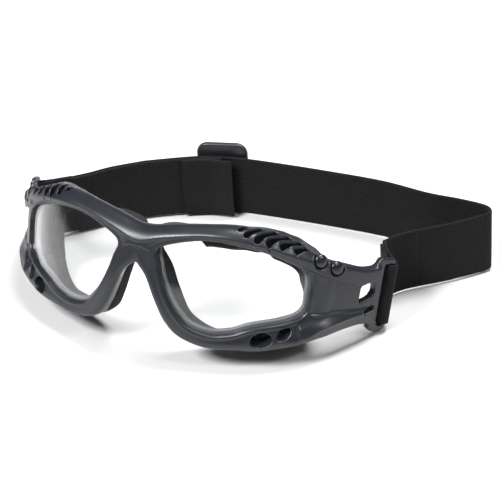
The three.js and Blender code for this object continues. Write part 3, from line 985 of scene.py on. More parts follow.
@dataclass(frozen=True)
class FloorFinish(Finish):
    """A matt pale floor with the faintest mottle."""

    dark: Colour = (0.57, 0.57, 0.57)
    light: Colour = (0.59, 0.59, 0.59)
    mottle: float = 6.0
    roughness: float = 0.8

    def wire(self, nodes: Nodes, shader: bpy.types.Node) -> None:
        """Slow noise as colour.

        Args:
            nodes: The material's nodes.
            shader: Its Principled shader.
        """
        mottle = nodes.noise(nodes.place("Object"), self.mottle, detail=2.0)
        nodes.feed(shader.inputs["Base Color"], nodes.ramp(mottle, (0.3, 0.7), self.dark, self.light))
        shader.inputs["Roughness"].default_value = self.roughness


CHARCOAL = PlasticFinish("charcoal_plastic", (0.0065, 0.0077, 0.0112), (0.0105, 0.012, 0.0165), 0.30, 0.42)
STUD_PLASTIC = PlasticFinish("stud_plastic", (0.005, 0.0055, 0.007), (0.009, 0.0098, 0.012), 0.24, 0.34)
SLIDER_PLASTIC = PlasticFinish("slider_plastic", (0.008, 0.0085, 0.010), (0.013, 0.0135, 0.016), 0.32, 0.44)
RETAINER_GREY = PlasticFinish("retainer_grey", (0.05, 0.052, 0.055), (0.09, 0.093, 0.097), 0.4, 0.55)
# Each foam's dark end is painted shade in its cell pits.
FACE_FOAM = FoamFinish("face_foam", (0.004, 0.004, 0.004), (0.016, 0.016, 0.017), 1400.0)
VENT_FOAM = FoamFinish("vent_foam", (0.003, 0.003, 0.003), (0.014, 0.013, 0.012), 900.0)
# The elastic's dark end is painted shade in the weave's hollows.
WEBBING = ElasticFinish("woven_elastic", (0.0008, 0.0008, 0.001), (0.018, 0.018, 0.0205))
CLEAR_LENS = LensFinish("clear_lens")
PALE_FLOOR = FloorFinish("pale_floor")


class Wardrobe:
    """The built materials, each made once."""

    def __init__(self) -> None:
        """Starts with nothing built."""
        self.built: dict[str, bpy.types.Material] = {}

    def dress(self, piece: bpy.types.Object, finish: Finish) -> None:
        """Puts a finish on a piece, and builds it if it is new.

        Args:
            piece: The object.
            finish: One of the finishes.
        """
        if finish.name not in self.built:
            self.built[finish.name] = finish.build()
        piece.data.materials.clear()
        piece.data.materials.append(self.built[finish.name])


WARDROBE = Wardrobe()


def finish_piece(
    piece: bpy.types.Object,
    body: Body | None,
    finish: Finish,
    replaces: Sequence[str] = (),
) -> bpy.types.Object:
    """Dresses a piece, hides the CAD nodes that it stands for, and hangs it on its body.

    Args:
        piece: The object.
        body: The body it rides on, or None where it is left unattached.
        finish: One of the finishes.
        replaces: CAD nodes that are no longer shown.

    Returns:
        The same object.
    """
    WARDROBE.dress(piece, finish)
    if replaces:
        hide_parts(*replaces)
    if body is not None:
        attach(piece, body.value)
    LOG.info("%s: %d faces", piece.name, len(piece.data.polygons))
    return piece


# ---------------------------------------------------------------- the moulded front


@dataclass
class MouldedFront:
    """The one-piece charcoal front, as a field in space whose zero surface becomes its mesh.

    Fields are in millimetres. Keys and outlines are (x, z) pairs, for the +X half.
    """

    step: float = 0.46
    flat_step: float = 0.25
    # the ring round the eye
    thinnest: float = 2.0
    widest: float = 14.0
    hood: float = 0.495
    bead: float = 0.35
    crown: float = 0.3
    shelf_lift: float = 1.0
    edge_round: float = 2.6
    brow_round: float = 1.8
    back_round: float = 0.8
    wall: float = 3.4
    # the side panel
    temple_start: float = 55.5
    temple_end: float = 73.4
    temple_wall: float = 2.8
    top_band: float = 1.8
    rib_step: float = 0.8
    rib_crest: float = 0.35
    lower_swell: float = 1.1
    front_swell: float = 1.5
    lower_fall: float = 0.22
    lower_crest: float = 0.3
    # the lug
    lug_half: float = 1.3
    bar_along: float = 3.75
    bar_middle: float = 11.5
    bar_half: float = 12.2
    bar_radius: float = 1.2
    # slots, vents, wells and windows
    slot_floor: float = 1.25
    slot_drop: float = 5.9
    slot_lip: float = 0.25
    hole_lip: float = 0.3
    lip_width: float = 0.45
    hole_round: float = 0.35
    stud_recess: float = 2.95
    stud_depth: float = 0.5
    stud_stands: float = 1.3
    stud_tilt: float = 0.35

    STUDS = ((59.2, 37.3), (63.4, 33.3))
    CREASE = np.array(
        [[0, 43.0], [6.3, 46.3], [22.6, 48.7], [34.3, 47.6], [44, 44.0], [54.4, 37.0], [62.8, 29.6],
         [67, 25.7], [69.4, 23.4], [71.5, 22.6], [75, 22.4]]
    )
    TEMPLE_TOP = np.array(
        [[56, 39.0], [60, 36.9], [66, 32.3], [70, 28.6], [72, 27.3], [74, 26.6], [77, 25.8]]
    )
    TEMPLE_BOTTOM = np.array([[56, 11.5], [60, 9.6], [65, 9.2], [70, 7.9], [72, 6.4], [77, 4.6]])
    UPPER_RIB = np.array([[56, 20.2], [59.3, 18.7], [66.2, 16.1], [70.4, 13.9], [75, 12.4]])
    LOWER_RIB = np.array([[56, 11.4], [57.2, 12.2], [62.6, 14.0], [70.5, 12.2], [75, 11.0]])
    # x, and how much lower the brow's back edge is than its front
    BROW_FALL = np.array([[0, 3.4], [12, 3.2], [24, 3.5], [32, 3.5], [38, 2.6], [44, 1.2], [51, 0.0]])
    # each slot's front end, back end and radius
    SLOTS = (
        ((35.0, -23.6, 49.9), (35.8, -20.8, 49.8), 0.75),
        ((38.0, -24.4, 48.6), (40.1, -17.7, 48.7), 1.0),
        ((41.8, -23.8, 46.9), (44.4, -14.9, 47.4), 1.1),
        ((45.4, -22.2, 45.1), (48.3, -13.3, 45.4), 1.1),
        ((49.4, -19.8, 43.2), (52.3, -12.2, 43.5), 1.1),
        ((53.4, -17.3, 41.6), (55.2, -13.4, 41.2), 1.0),
    )
    # each oval vent's x, z, half width, half height and tilt
    VENTS = ((45.2, 12.9, 3.9, 2.4, 0.1), (51.6, 14.1, 2.8, 1.6, 0.45))
    # outlines of the strap window and the pin hole, each with its corners' softness
    WINDOWS = (
        (np.array([[69.9, 16.2], [70.2, 22.0], [72.0, 22.2], [73.1, 20.5], [73.2, 18.0], [72.2, 16.2]]), 0.9),
        (np.array([[70.8, 11.5], [70.8, 13.2], [73.0, 13.2], [73.0, 11.5]]), 0.3),
    )

    LUG_UP = unit(np.array([0.0575, 0.3186, 0.947]))
    LUG_IN = unit(np.array([-0.906, 0.423, -0.087]))
    LUG_ORIGIN = np.array([73.6, 2.1, 4.4])
    # the post's middle and half size, and the bars of the hook and the foot, along and up the lug
    POST = (-1.75, 11.2, 1.75, 12.4)
    HOOK = ((-1.6, 24.2, 3.5, 23.9, 1.15), (-2.2, 22.5, -1.2, 24.0, 1.3))
    FOOT = ((-1.4, -1.2, 3.2, -1.1, 1.05), (-2.4, 1.0, 0.4, -1.5, 1.0))

    LOWEST = np.array([0.0, -47.5, -0.5])
    HIGHEST = np.array([80.5, 18.0, 53.5])

    def __post_init__(self) -> None:
        """Works out the flat fields round the eye on a fine (x, z) grid, once."""
        self.lug_along = unit(np.cross(self.LUG_IN, self.LUG_UP))
        self.arc_x = np.linspace(-4, 81, 426)
        slope = WRAP.slope(self.arc_x, np.full_like(self.arc_x, 25.0))
        self.arc = np.cumsum(np.sqrt(1 + slope**2)) * (self.arc_x[1] - self.arc_x[0])
        self.arc -= np.interp(0.0, self.arc_x, self.arc)
        self.flat_x = np.arange(-4, 81, self.flat_step)
        self.flat_z = np.arange(-3, 57, self.flat_step)
        ring = EYE.at(np.linspace(0, 1, 420, endpoint=False))
        self.opening, _ = self.outline_distance(ring["inner"])
        self.outer, nearest = self.outline_distance(ring["outer"])
        self.proud = ring["proud"][nearest]
        self.flare = ring["flare"][nearest]

    def length_at(self, x: float | np.ndarray) -> np.ndarray:
        """Arc length along the wrap from its middle, at mid height."""
        return np.interp(x, self.arc_x, self.arc)

    def outline_distance(self, outline: np.ndarray) -> tuple[np.ndarray, np.ndarray]:
        """Signed distance to a closed outline over the flat grid, with x measured along the arc.

        Args:
            outline: The outline's (x, z) points.

        Returns:
            The distance, negative inside, and the number of the nearest point.
        """
        pu, pv = self.length_at(outline[:, 0]), outline[:, 1]
        u, v = np.meshgrid(self.length_at(self.flat_x), self.flat_z, indexing="ij")
        best, nearest = np.full(u.shape, np.inf), np.zeros(u.shape, int)
        inside = np.zeros(u.shape, bool)
        for k, (au, av, bu, bv) in enumerate(zip(pu, pv, np.roll(pu, -1), np.roll(pv, -1))):
            gap = bar_distance(u, v, (au, av, bu, bv, 0.0))
            closer = gap < best
            best[closer], nearest[closer] = gap[closer], k
            crosses = ((av > v) != (bv > v)) & (u < au + (v - av) / (bv - av + 1e-12) * (bu - au))
            inside ^= crosses
        return np.where(inside, -best, best), nearest

    def read(self, field: np.ndarray, x: np.ndarray, z: np.ndarray) -> np.ndarray:
        """A field of the flat grid read at any points, linearly between its own.

        Args:
            field: Values over the grid.
            x: Places across.
            z: Heights.

        Returns:
            The values.
        """
        i = np.clip((x - self.flat_x[0]) / self.flat_step, 0, len(self.flat_x) - 1.001)
        j = np.clip((z - self.flat_z[0]) / self.flat_step, 0, len(self.flat_z) - 1.001)
        i0, j0 = i.astype(int), j.astype(int)
        s, t = i - i0, j - j0
        low = field[i0, j0] * (1 - s) + field[i0 + 1, j0] * s
        high = field[i0, j0 + 1] * (1 - s) + field[i0 + 1, j0 + 1] * s
        return low * (1 - t) + high * t

    def keyed(self, keys: np.ndarray, x: np.ndarray) -> np.ndarray:
        """A smooth line through (x, value) keys, read at x."""
        dense = catmull(keys, np.linspace(0, 1, 400), False)
        return np.interp(x, dense[:, 0], dense[:, 1])

    def eye_ring(self, x: np.ndarray, z: np.ndarray, depth: np.ndarray) -> np.ndarray:
        """The ring round the eye without its opening: outer wall, crowned face and back.

        The face rises towards the outer edge, with a bead round the opening and a hood above the
        crease. The outer wall spreads towards the back, and falls away behind the brow by the square
        of the depth.

        Args:
            x: Places across, on the wrap.
            z: Heights.
            depth: Depths behind the wrap.

        Returns:
            The field.
        """
        away, within = self.read(self.opening, x, z), -self.read(self.outer, x, z)
        width = np.clip(away + within, self.thinnest, self.widest)
        across = np.clip(away / width, 0, 1)
        high = smoothstep(36, 42, z)
        lateral = smoothstep(60, 54, x)
        over_crease = smoothstep(-0.25, 0.5, z - self.keyed(self.CREASE, x))
        hood = self.hood * over_crease * smoothstep(-0.2, 0.8, away)
        bead = self.bead * bell(away - 0.8, 0.5) * lateral
        rise = self.read(self.proud, x, z) * smoothstep(0.05, 0.75, across) * smoothstep(64, 58, x)
        face = -(depth + rise + hood + bead + self.crown * lateral * np.sin(math.pi * across))
        shelf = self.shelf_lift * smoothstep(24, 38, x) * smoothstep(61, 55, x) * smoothstep(34, 42, z)
        fall = np.interp(x, *self.BROW_FALL.T) * high
        behind = np.clip(depth / EYE.depth, -0.3, 1)
        spread = self.read(self.flare, x, z) * behind
        outer = -(within + shelf + spread - fall * behind * np.abs(behind))
        body = smooth_max(outer, face, self.edge_round + self.brow_round * smoothstep(36, 20, x) * high)
        return smooth_max(body, depth - EYE.back(x, z), self.back_round)

    def eye_hole(self, x: np.ndarray, z: np.ndarray, depth: np.ndarray) -> np.ndarray:
        """The opening, which widens behind the lens until only the wall is left.

        Args:
            x: Places across, on the wrap.
            z: Heights.
            depth: Depths behind the wrap.

        Returns:
            The field, negative in the hole.
        """
        away, within = self.read(self.opening, x, z), -self.read(self.outer, x, z)
        width = np.clip(away + within, self.thinnest, self.widest) + self.read(self.flare, x, z)
        hollow = np.clip((depth - self.wall) / (EYE.depth - self.wall), 0, 1)
        return away - hollow * np.clip(width - self.wall, 0.3, 12)

    def temple(self, x: np.ndarray, z: np.ndarray, depth: np.ndarray) -> np.ndarray:
        """The side panel: a flat recess between the hooded top band and the ribbed lower band.

        Args:
            x: Places across, on the wrap.
            z: Heights.
            depth: Depths behind the wrap.

        Returns:
            The field.
        """
        low, high = self.keyed(self.TEMPLE_BOTTOM, x), self.keyed(self.TEMPLE_TOP, x)
        upper_rib, lower_rib = self.keyed(self.UPPER_RIB, x), self.keyed(self.LOWER_RIB, x)
        below = upper_rib - z
        fade = 1 - 0.5 * smoothstep(62, 74, x)
        band = self.top_band * fade * smoothstep(-0.15, 0.45, z - self.keyed(self.CREASE, x))
        rib = self.rib_step * smoothstep(-0.15, 0.2, below) + self.rib_crest * bell(below - 0.3, 0.35)
        crest = self.lower_swell + self.front_swell * smoothstep(70, 60, x)
        swell = crest * smoothstep(0, 1, below / np.maximum(upper_rib - lower_rib, 0.5))
        ridge = self.lower_crest * bell(lower_rib - z, 0.4)
        fall = self.lower_fall * np.clip(lower_rib - z, 0, 6)
        away = self.read(self.opening, x, z)
        lower = (rib + swell + ridge - fall) * fade * smoothstep(-0.2, 3.2, away)
        face = -(depth + band * smoothstep(-0.5, 1.5, away) + lower)
        body = smooth_max(np.maximum(low - z, z - high), face, 1.2)
        body = smooth_max(body, depth - self.temple_wall, 0.8)
        along = self.length_at(x)
        body = smooth_max(body, along - self.length_at(self.temple_end + 0.06 * (z - 15)), 0.6)
        return np.maximum(body, self.length_at(self.temple_start) - along)

    def lug(self, points: np.ndarray) -> np.ndarray:
        """The strap lug: a flat post with a rounded hook above, a foot below and a round bar.

        Args:
            points: Points as (..., 3).

        Returns:
            The field.
        """
        local = points - self.LUG_ORIGIN
        a, u, n = local @ self.lug_along, local @ self.LUG_UP, local @ self.LUG_IN - self.lug_half
        middle_a, middle_u, half_a, half_u = self.POST
        plan = np.maximum(np.abs(a - middle_a) - half_a, np.abs(u - middle_u) - half_u)
        for bars in (self.HOOK, self.FOOT):
            limb = smooth_min(bar_distance(a, u, bars[0]), bar_distance(a, u, bars[1]), 0.8)
            plan = smooth_min(plan, limb, 0.8)
        plate = smooth_max(plan, np.abs(n) - self.lug_half, 0.6)
        beyond = np.maximum(np.abs(u - self.bar_middle) - self.bar_half, 0)
        bar = np.hypot(np.hypot(a - self.bar_along, n), beyond) - self.bar_radius
        return smooth_min(plate, bar, 0.5)

    def cut(self, body: np.ndarray, cutter: np.ndarray, lip: float) -> np.ndarray:
        """Takes the cutter out of the body and raises a thin rounded lip round the hole."""
        raised = body - lip * bell(cutter, self.lip_width)
        return smooth_max(raised, -cutter, self.hole_round)

    def cut_slots(self, body: np.ndarray, points: np.ndarray) -> np.ndarray:
        """Cuts the brow slots: round-ended grooves in plan whose floors drop towards the back.

        Args:
            body: The field so far.
            points: Points as (..., 3).

        Returns:
            The field with the slots.
        """
        for front, back, radius in self.SLOTS:
            start, run = np.array(front), np.array(back) - np.array(front)
            flat = points[..., :2] - start[:2]
            s = np.clip(flat @ run[:2] / (run[:2] @ run[:2]), 0, 1)
            plan = np.hypot(flat[..., 0] - s * run[0], flat[..., 1] - s * run[1]) - radius
            top = start[2] + s * run[2]
            floor = top - self.slot_floor - self.slot_drop * smoothstep(0.15, 0.5, s)
            body = self.cut(body, np.maximum(plan, floor - points[..., 2]), self.slot_lip)
        return body

    def cut_wells(self, body: np.ndarray, points: np.ndarray) -> np.ndarray:
        """Cuts a round well for each stud, square to the panel.

        Args:
            body: The field so far.
            points: Points as (..., 3).

        Returns:
            The field with the wells.
        """
        for stud in self.STUDS:
            centre, axis = self.stud_axis(stud)
            local = points - centre
            height = local @ axis
            radius = np.linalg.norm(local - height[..., None] * axis, axis=-1)
            well = np.maximum(radius - self.stud_recess, -self.stud_depth - height)
            body = np.where(np.abs(height) < 5, self.cut(body, well, self.hole_lip), body)
        return body

    def cut_openings(self, body: np.ndarray, x: np.ndarray, z: np.ndarray) -> np.ndarray:
        """Cuts the lower vents, which are tilted ellipses, the strap window and the pin hole.

        Args:
            body: The field so far.
            x: Places across, on the wrap.
            z: Heights.

        Returns:
            The field with the openings.
        """
        along = self.length_at(x)
        for vent_x, vent_z, half_width, half_height, tilt in self.VENTS:
            du, dv = along - self.length_at(vent_x), z - vent_z
            c, s = math.cos(tilt), math.sin(tilt)
            e, f = (du * c + dv * s) / half_width, (dv * c - du * s) / half_height
            body = self.cut(body, (np.hypot(e, f) - 1) * half_height, self.hole_lip)
        for outline, soft in self.WINDOWS:
            body = smooth_max(body, -self.convex(outline, along, z, soft), self.hole_round)
        return body

    def convex(self, outline: np.ndarray, along: np.ndarray, z: np.ndarray, soft: float) -> np.ndarray:
        """A convex outline's field: the largest of its edges' distances, with rounded corners.

        Args:
            outline: The outline's (x, z) points.
            along: Arc lengths of the points to read.
            z: Their heights.
            soft: The corners' softness.

        Returns:
            The field, negative inside.
        """
        u, v = self.length_at(outline[:, 0]), outline[:, 1]
        edges = []
        for au, av, bu, bv in zip(u, v, np.roll(u, -1), np.roll(v, -1)):
            du, dv = bu - au, bv - av
            edges.append(((z - av) * du - (along - au) * dv) / math.hypot(du, dv))
        return reduce(lambda most, edge: smooth_max(most, edge, soft), edges)

    def field(self, points: np.ndarray) -> np.ndarray:
        """The whole moulding as one field over points of the +X half, negative inside.

        Within 2r of the middle x becomes r + x^2 / 4r, so that the halves meet in a round saddle.

        Args:
            points: Points as (..., 3).

        Returns:
            The field.
        """
        softened = points.copy()
        middle, z = points[..., 0], points[..., 2]
        saddle_round = 0.8 + 2.2 * smoothstep(40, 45, z)
        saddle = saddle_round + middle * middle / (4 * saddle_round)
        softened[..., 0] = np.where(middle < 2 * saddle_round, saddle, middle)
        x, depth = WRAP.foot(softened)
        body = smooth_min(self.eye_ring(x, z, depth), self.temple(x, z, depth), 1.2)
        body = smooth_max(body, -self.eye_hole(x, z, depth), 0.5)
        body = smooth_min(body, self.lug(points), 0.7)
        body = self.cut_slots(body, points)
        body = self.cut_wells(body, points)
        return self.cut_openings(body, x, z)

    def stud_axis(self, stud: tuple[float, float]) -> tuple[np.ndarray, np.ndarray]:
        """Where a stud sits.

        Args:
            stud: Its x and z.

        Returns:
            The foot of its dome, and the direction that the dome faces.
        """
        x, z = np.array(stud[0]), np.array(stud[1])
        foot = WRAP.point(x, z, np.array(-self.stud_stands))
        slope = WRAP.slope(x, z)
        length = math.sqrt(1 + slope * slope)
        return foot, unit(np.array([slope / length, -1 / length, self.stud_tilt]))

    def settle(self, points: np.ndarray) -> np.ndarray:
        """Moves points onto the field's zero: p - f g / |g|^2, by at most 0.2 mm, three times.

        Args:
            points: Points of the whole moulding.

        Returns:
            The moved points.
        """
        mirror = np.where(points[:, :1] < 0, [[-1.0, 1.0, 1.0]], [[1.0, 1.0, 1.0]])
        half, small, most = points * mirror, 0.03, 0.2
        for _ in range(3):
            value = self.field(half)
            slope = np.stack([(self.field(half + small * e) - value) / small for e in np.eye(3)], 1)
            move = value[:, None] * slope / np.maximum((slope**2).sum(1, keepdims=True), 0.2)
            length = np.maximum(np.linalg.norm(move, axis=1, keepdims=True), 1e-9)
            half = half - move * np.minimum(1, most / length)
        return half * mirror

    def build(self) -> None:
        """Makes the moulding's mesh from its field and mirrors the field for the other half."""
        counts = np.ceil((self.HIGHEST - self.LOWEST) / self.step).astype(int) + 1
        axes = [low + self.step * np.arange(count) for low, count in zip(self.LOWEST, counts)]
        half = self.field(np.stack(np.meshgrid(*axes, indexing="ij"), -1))
        whole = np.concatenate([half[:0:-1], half], axis=0)
        start = np.array([-axes[0][-1], *self.LOWEST[1:]])
        points, faces = largest_body(*surface_net(whole, start, self.step))
        points = self.settle(relax(points, faces, 3))
        piece = make_piece("moulded_front", points, outward(points, [faces]))
        finish_piece(piece, Body.FRAME, CHARCOAL, ["front_frame"])


FRONT = MouldedFront()


@dataclass
class Studs:
    """Domed press-in studs, each a profile turned round its own axis."""

    radius: float = 2.5
    height: float = 1.3
    sunk: float = 0.1
    fullness: float = 0.85
    shank: float = 1.4
    reach: float = 3.0
    under: float = 0.93
    turns: int = 40

    def profile(self) -> tuple[np.ndarray, np.ndarray]:
        """The stud's section, from the end of the shank to just below the top of the dome.

        The dome's height goes as the sine and its radius as a power of the cosine of one angle.

        Returns:
            Radii and heights.
        """
        arc = np.linspace(0, math.pi / 2, 14)[1:-1]
        foot_r = [self.shank, self.shank, self.radius * self.under, self.radius]
        foot_h = [-self.reach, -0.55, -0.5, -0.3]
        radii = np.concatenate([foot_r, self.radius * np.cos(arc) ** self.fullness])
        return radii, np.concatenate([foot_h, -self.sunk + self.height * np.sin(arc)])

    def build(self) -> None:
        """Makes the four studs."""
        radii, heights = self.profile()
        angle = 2 * math.pi * np.arange(self.turns) / self.turns
        for place, spot in zip(("front", "rear"), FRONT.STUDS):
            foot, axis = FRONT.stud_axis(spot)
            aside = unit(np.cross([0, 0, 1], axis))
            spoke = np.cos(angle)[:, None] * aside + np.sin(angle)[:, None] * np.cross(axis, aside)
            rows = foot + heights[:, None, None] * axis + radii[:, None, None] * spoke
            hubs = foot + np.array([[-self.reach], [self.height - self.sunk]]) * axis
            points, sets = capped_tube(rows, hubs)
            for side, sign in SIDES.items():
                shown = points * np.array([sign, 1, 1])
                piece = make_piece(f"stud_{place}_{side}_dome", shown, outward(shown, sets))
                finish_piece(piece, Body.FRAME, STUD_PLASTIC, [f"stud_{place}_{side}"])


@dataclass
class EyeParts:
    """What sits in and behind each eye opening: lens, retainer, face foam and vent filters."""

    overlap: float = 0.9
    retainer_width: float = 1.0
    retainer_overlap: float = 0.2
    retainer_back: float = 1.6
    foam_width: float = 5.2
    foam_thickness: float = 4.6
    foam_splay: float = 0.6
    foam_flare: float = 0.35
    brow_inset: float = 0.8
    brow_lean: float = 2.8
    filter_half: float = 0.7
    plug_z: float = 13.0
    plug_depth: float = 7.2
    plug_half_height: float = 2.6
    plug_half_depth: float = 1.2
    plug_slope: float = 0.07
    squareness: float = 5.0

    def band(self, reach: tuple[float, float], depth: tuple[float, float], shares: np.ndarray) -> np.ndarray:
        """A nearly square band carried round the eye.

        Args:
            reach: Its sides, measured out from the opening.
            depth: Its front and back, behind the wrap.
            shares: Places round the eye.

        Returns:
            Points as (places, steps, 3).
        """
        (near, far), (front, back) = reach, depth
        corners = [(near, front), (far, front), (far, back), (near, back)]
        return EYE.sweep(lambda ring: corners, shares, 16, self.squareness)

    def lens(self) -> np.ndarray:
        """The lens as nested copies of its outline: out over the front, round the edge and back.

        Returns:
            Points as (copies, steps, 3).
        """
        ring = EYE.at(np.linspace(0, 1, 144, endpoint=False))
        rim = ring["inner"] + ring["out"] * self.overlap
        shares = np.concatenate([np.linspace(0.04, 0.96, 22), [0.985, 1.0]])
        sheets = []
        for depth, order in ((EYE.lens_front, shares), (EYE.lens_back, shares[::-1])):
            for share in order:
                spot = EYE.MIDDLE + (rim - EYE.MIDDLE) * share
                sheets.append(WRAP.point(spot[:, 0], spot[:, 1], np.array(depth)))
        return np.array(sheets)

    def retainer(self) -> np.ndarray:
        """The thin ring behind the lens's edge.

        Returns:
            Points as (places, steps, 3).
        """
        reach = (self.retainer_overlap - self.retainer_width, 0.25)
        depth = (EYE.lens_back + 0.15, EYE.lens_back + self.retainer_back)
        return self.band(reach, depth, np.linspace(0, 1, 200, endpoint=False))

    def foam_corners(self, ring: dict[str, np.ndarray]) -> list[tuple]:
        """The gasket's section: it leans inwards under the brow and follows the ring elsewhere.

        Args:
            ring: The eye's values at each place.

        Returns:
            Front-in, front-out, back-out and back-in corners, as (reach, depth).
        """
        x, z = ring["outer"].T
        front, back = EYE.back(x, z) - 0.3, EYE.depth + self.foam_thickness
        out = ring["width"] + ring["flare"] * (1 + self.foam_flare * (ring["flare"] > 0))
        brow = np.maximum(smoothstep(40, 46, z), smoothstep(26, 38, z) * smoothstep(45, 56, x))
        near = out - (np.interp(x, *FRONT.BROW_FALL.T) + self.brow_inset) * brow
        far = near - self.brow_lean * brow
        inner = far - self.foam_width - self.foam_splay
        return [(near - self.foam_width, front), (near - 0.4, front), (far, back), (inner, back)]

    def foam(self) -> np.ndarray:
        """The gasket: a soft-cornered band that stops just short of the middle.

        Returns:
            Points as (places, steps, 3).
        """
        rows = EYE.sweep(self.foam_corners, np.linspace(0, 1, 240, endpoint=False), 32, 3.4)
        rows[..., 0] = np.maximum(rows[..., 0], 0.15)
        return rows

    def brow_filter(self) -> np.ndarray:
        """The foam strip under the brow slots."""
        depth = (EYE.lens_back + 2.2, EYE.depth - 0.4)
        return self.band((-self.filter_half, self.filter_half), depth, np.linspace(0.095, 0.235, 60))

    def lower_filter(self) -> np.ndarray:
        """The foam plug behind the lower vents: a rounded block bent along the wrap.

        Returns:
            Points as (places, steps, 3).
        """
        x = np.linspace(44, 56, 30)[:, None]
        c, s = rounded_circle(2 * math.pi * (np.arange(24) + 0.5) / 24, 2 / self.squareness)
        z = self.plug_z + self.plug_half_height * c + (x - 50) * self.plug_slope
        return WRAP.point(x, z, self.plug_depth + self.plug_half_depth * s)

    def build(self) -> None:
        """Makes the pieces of both eyes."""
        plan = (
            ("lens", "clear_lens", self.lens(), False, CLEAR_LENS, "lens"),
            ("lens_retainer", "retainer_band", self.retainer(), True, RETAINER_GREY, "retainer"),
            ("face_foam", "face_gasket", self.foam(), True, FACE_FOAM, "foam"),
            ("brow_vent_filter", "brow_filter", self.brow_filter(), False, VENT_FOAM, "filter"),
            ("lower_vent_filter", "cheek_filter", self.lower_filter(), False, VENT_FOAM, "filter"),
        )
        for node, label, rows, ring, finish, slot in plan:
            for side, sign in SIDES.items():
                piece = closed_sweep(f"{label}_{side}", rows * np.array([sign, 1, 1]), ring)
                finish_piece(piece, Body.FRAME, finish, [f"{node}_{side}"])


# ---------------------------------------------------------------- the strap


@dataclass
class Webbing:
    """One length of elastic: a ribbed band carried along a path, with its edges rounded."""

    thickness: float = 1.2
    ribs: int = 23
    rib_height: float = 0.24
    edge: float = 0.022

    def section(self) -> tuple[np.ndarray, np.ndarray]:
        """The band's section: ribs on the inner face, as |sin| of the place across, and round edges.

        Returns:
            Shares across the width, and offsets from the middle sheet.
        """
        half = self.thickness / 2
        across = np.linspace(self.edge, 1 - self.edge, self.ribs * 6)
        ribbed = half - self.rib_height + self.rib_height * np.abs(np.sin(math.pi * self.ribs * across))
        plain = np.full(30, -half + 0.02)
        turn = np.linspace(0, math.pi, 7)[1:-1]
        bulge, drop = self.edge * np.sin(turn), half * np.cos(turn)
        back = np.linspace(1 - self.edge, self.edge, 30)
        return (
            np.concatenate([across, 1 - self.edge + bulge, back, self.edge - bulge]),
            np.concatenate([ribbed, drop, plain, -drop]),
        )

    def strip(
        self, name: str, feet: np.ndarray, widths: np.ndarray, turned: bool = False
    ) -> bpy.types.Object:
        """Carries the section along a path.

        Args:
            name: The piece's name.
            feet: The lower edge's points, millimetres; the inner face is to the left of the way.
            widths: The vector from the lower to the upper edge at each point.
            turned: Whether the ribbed face is on the other side.

        Returns:
            The piece, with a UV in metres along and across.
        """
        inner = unit(np.cross(unit(widths), unit(np.gradient(feet, axis=0))))
        across, offset = self.section()
        offset = -offset if turned else offset
        rise = across[None, :, None] * widths[:, None]
        rows = feet[:, None] + rise + offset[None, :, None] * inner[:, None]
        points, sets = capped_tube(rows)
        uv_sets = self.corner_uv(lengths_along(feet) * MM, rows[0])
        if volume_of(points, sets) < 0:
            sets, uv_sets = ([f[:, ::-1] for f in group] for group in (sets, uv_sets))
        uv = np.concatenate([corners.reshape(-1, 2) for corners in uv_sets])
        return make_piece(name, points, sets, uv, flat_ends=True)

    def corner_uv(self, travel: np.ndarray, section: np.ndarray) -> list[np.ndarray]:
        """UV of each face's corners, for the quads and the two end fans.

        Args:
            travel: Length along the path at each section, metres.
            section: One section's points, millimetres.

        Returns:
            Three arrays of (faces, corners, 2).
        """
        around = lengths_along(np.concatenate([section, section[:1]])) * MM
        steps = len(section)
        i, j = np.meshgrid(np.arange(len(travel) - 1), np.arange(steps), indexing="ij")
        i, j = i.ravel(), j.ravel()
        corners = ((i, j), (i + 1, j), (i + 1, j + 1), (i, j + 1))
        sets = [np.stack([np.stack([travel[a], around[b]], -1) for a, b in corners], 1)]
        for end in (travel[0], travel[-1]):
            spot = np.stack([np.full(steps, end), around[:-1]], -1)
            sets.append(np.repeat(spot[:, None], 3, 1))
        return sets


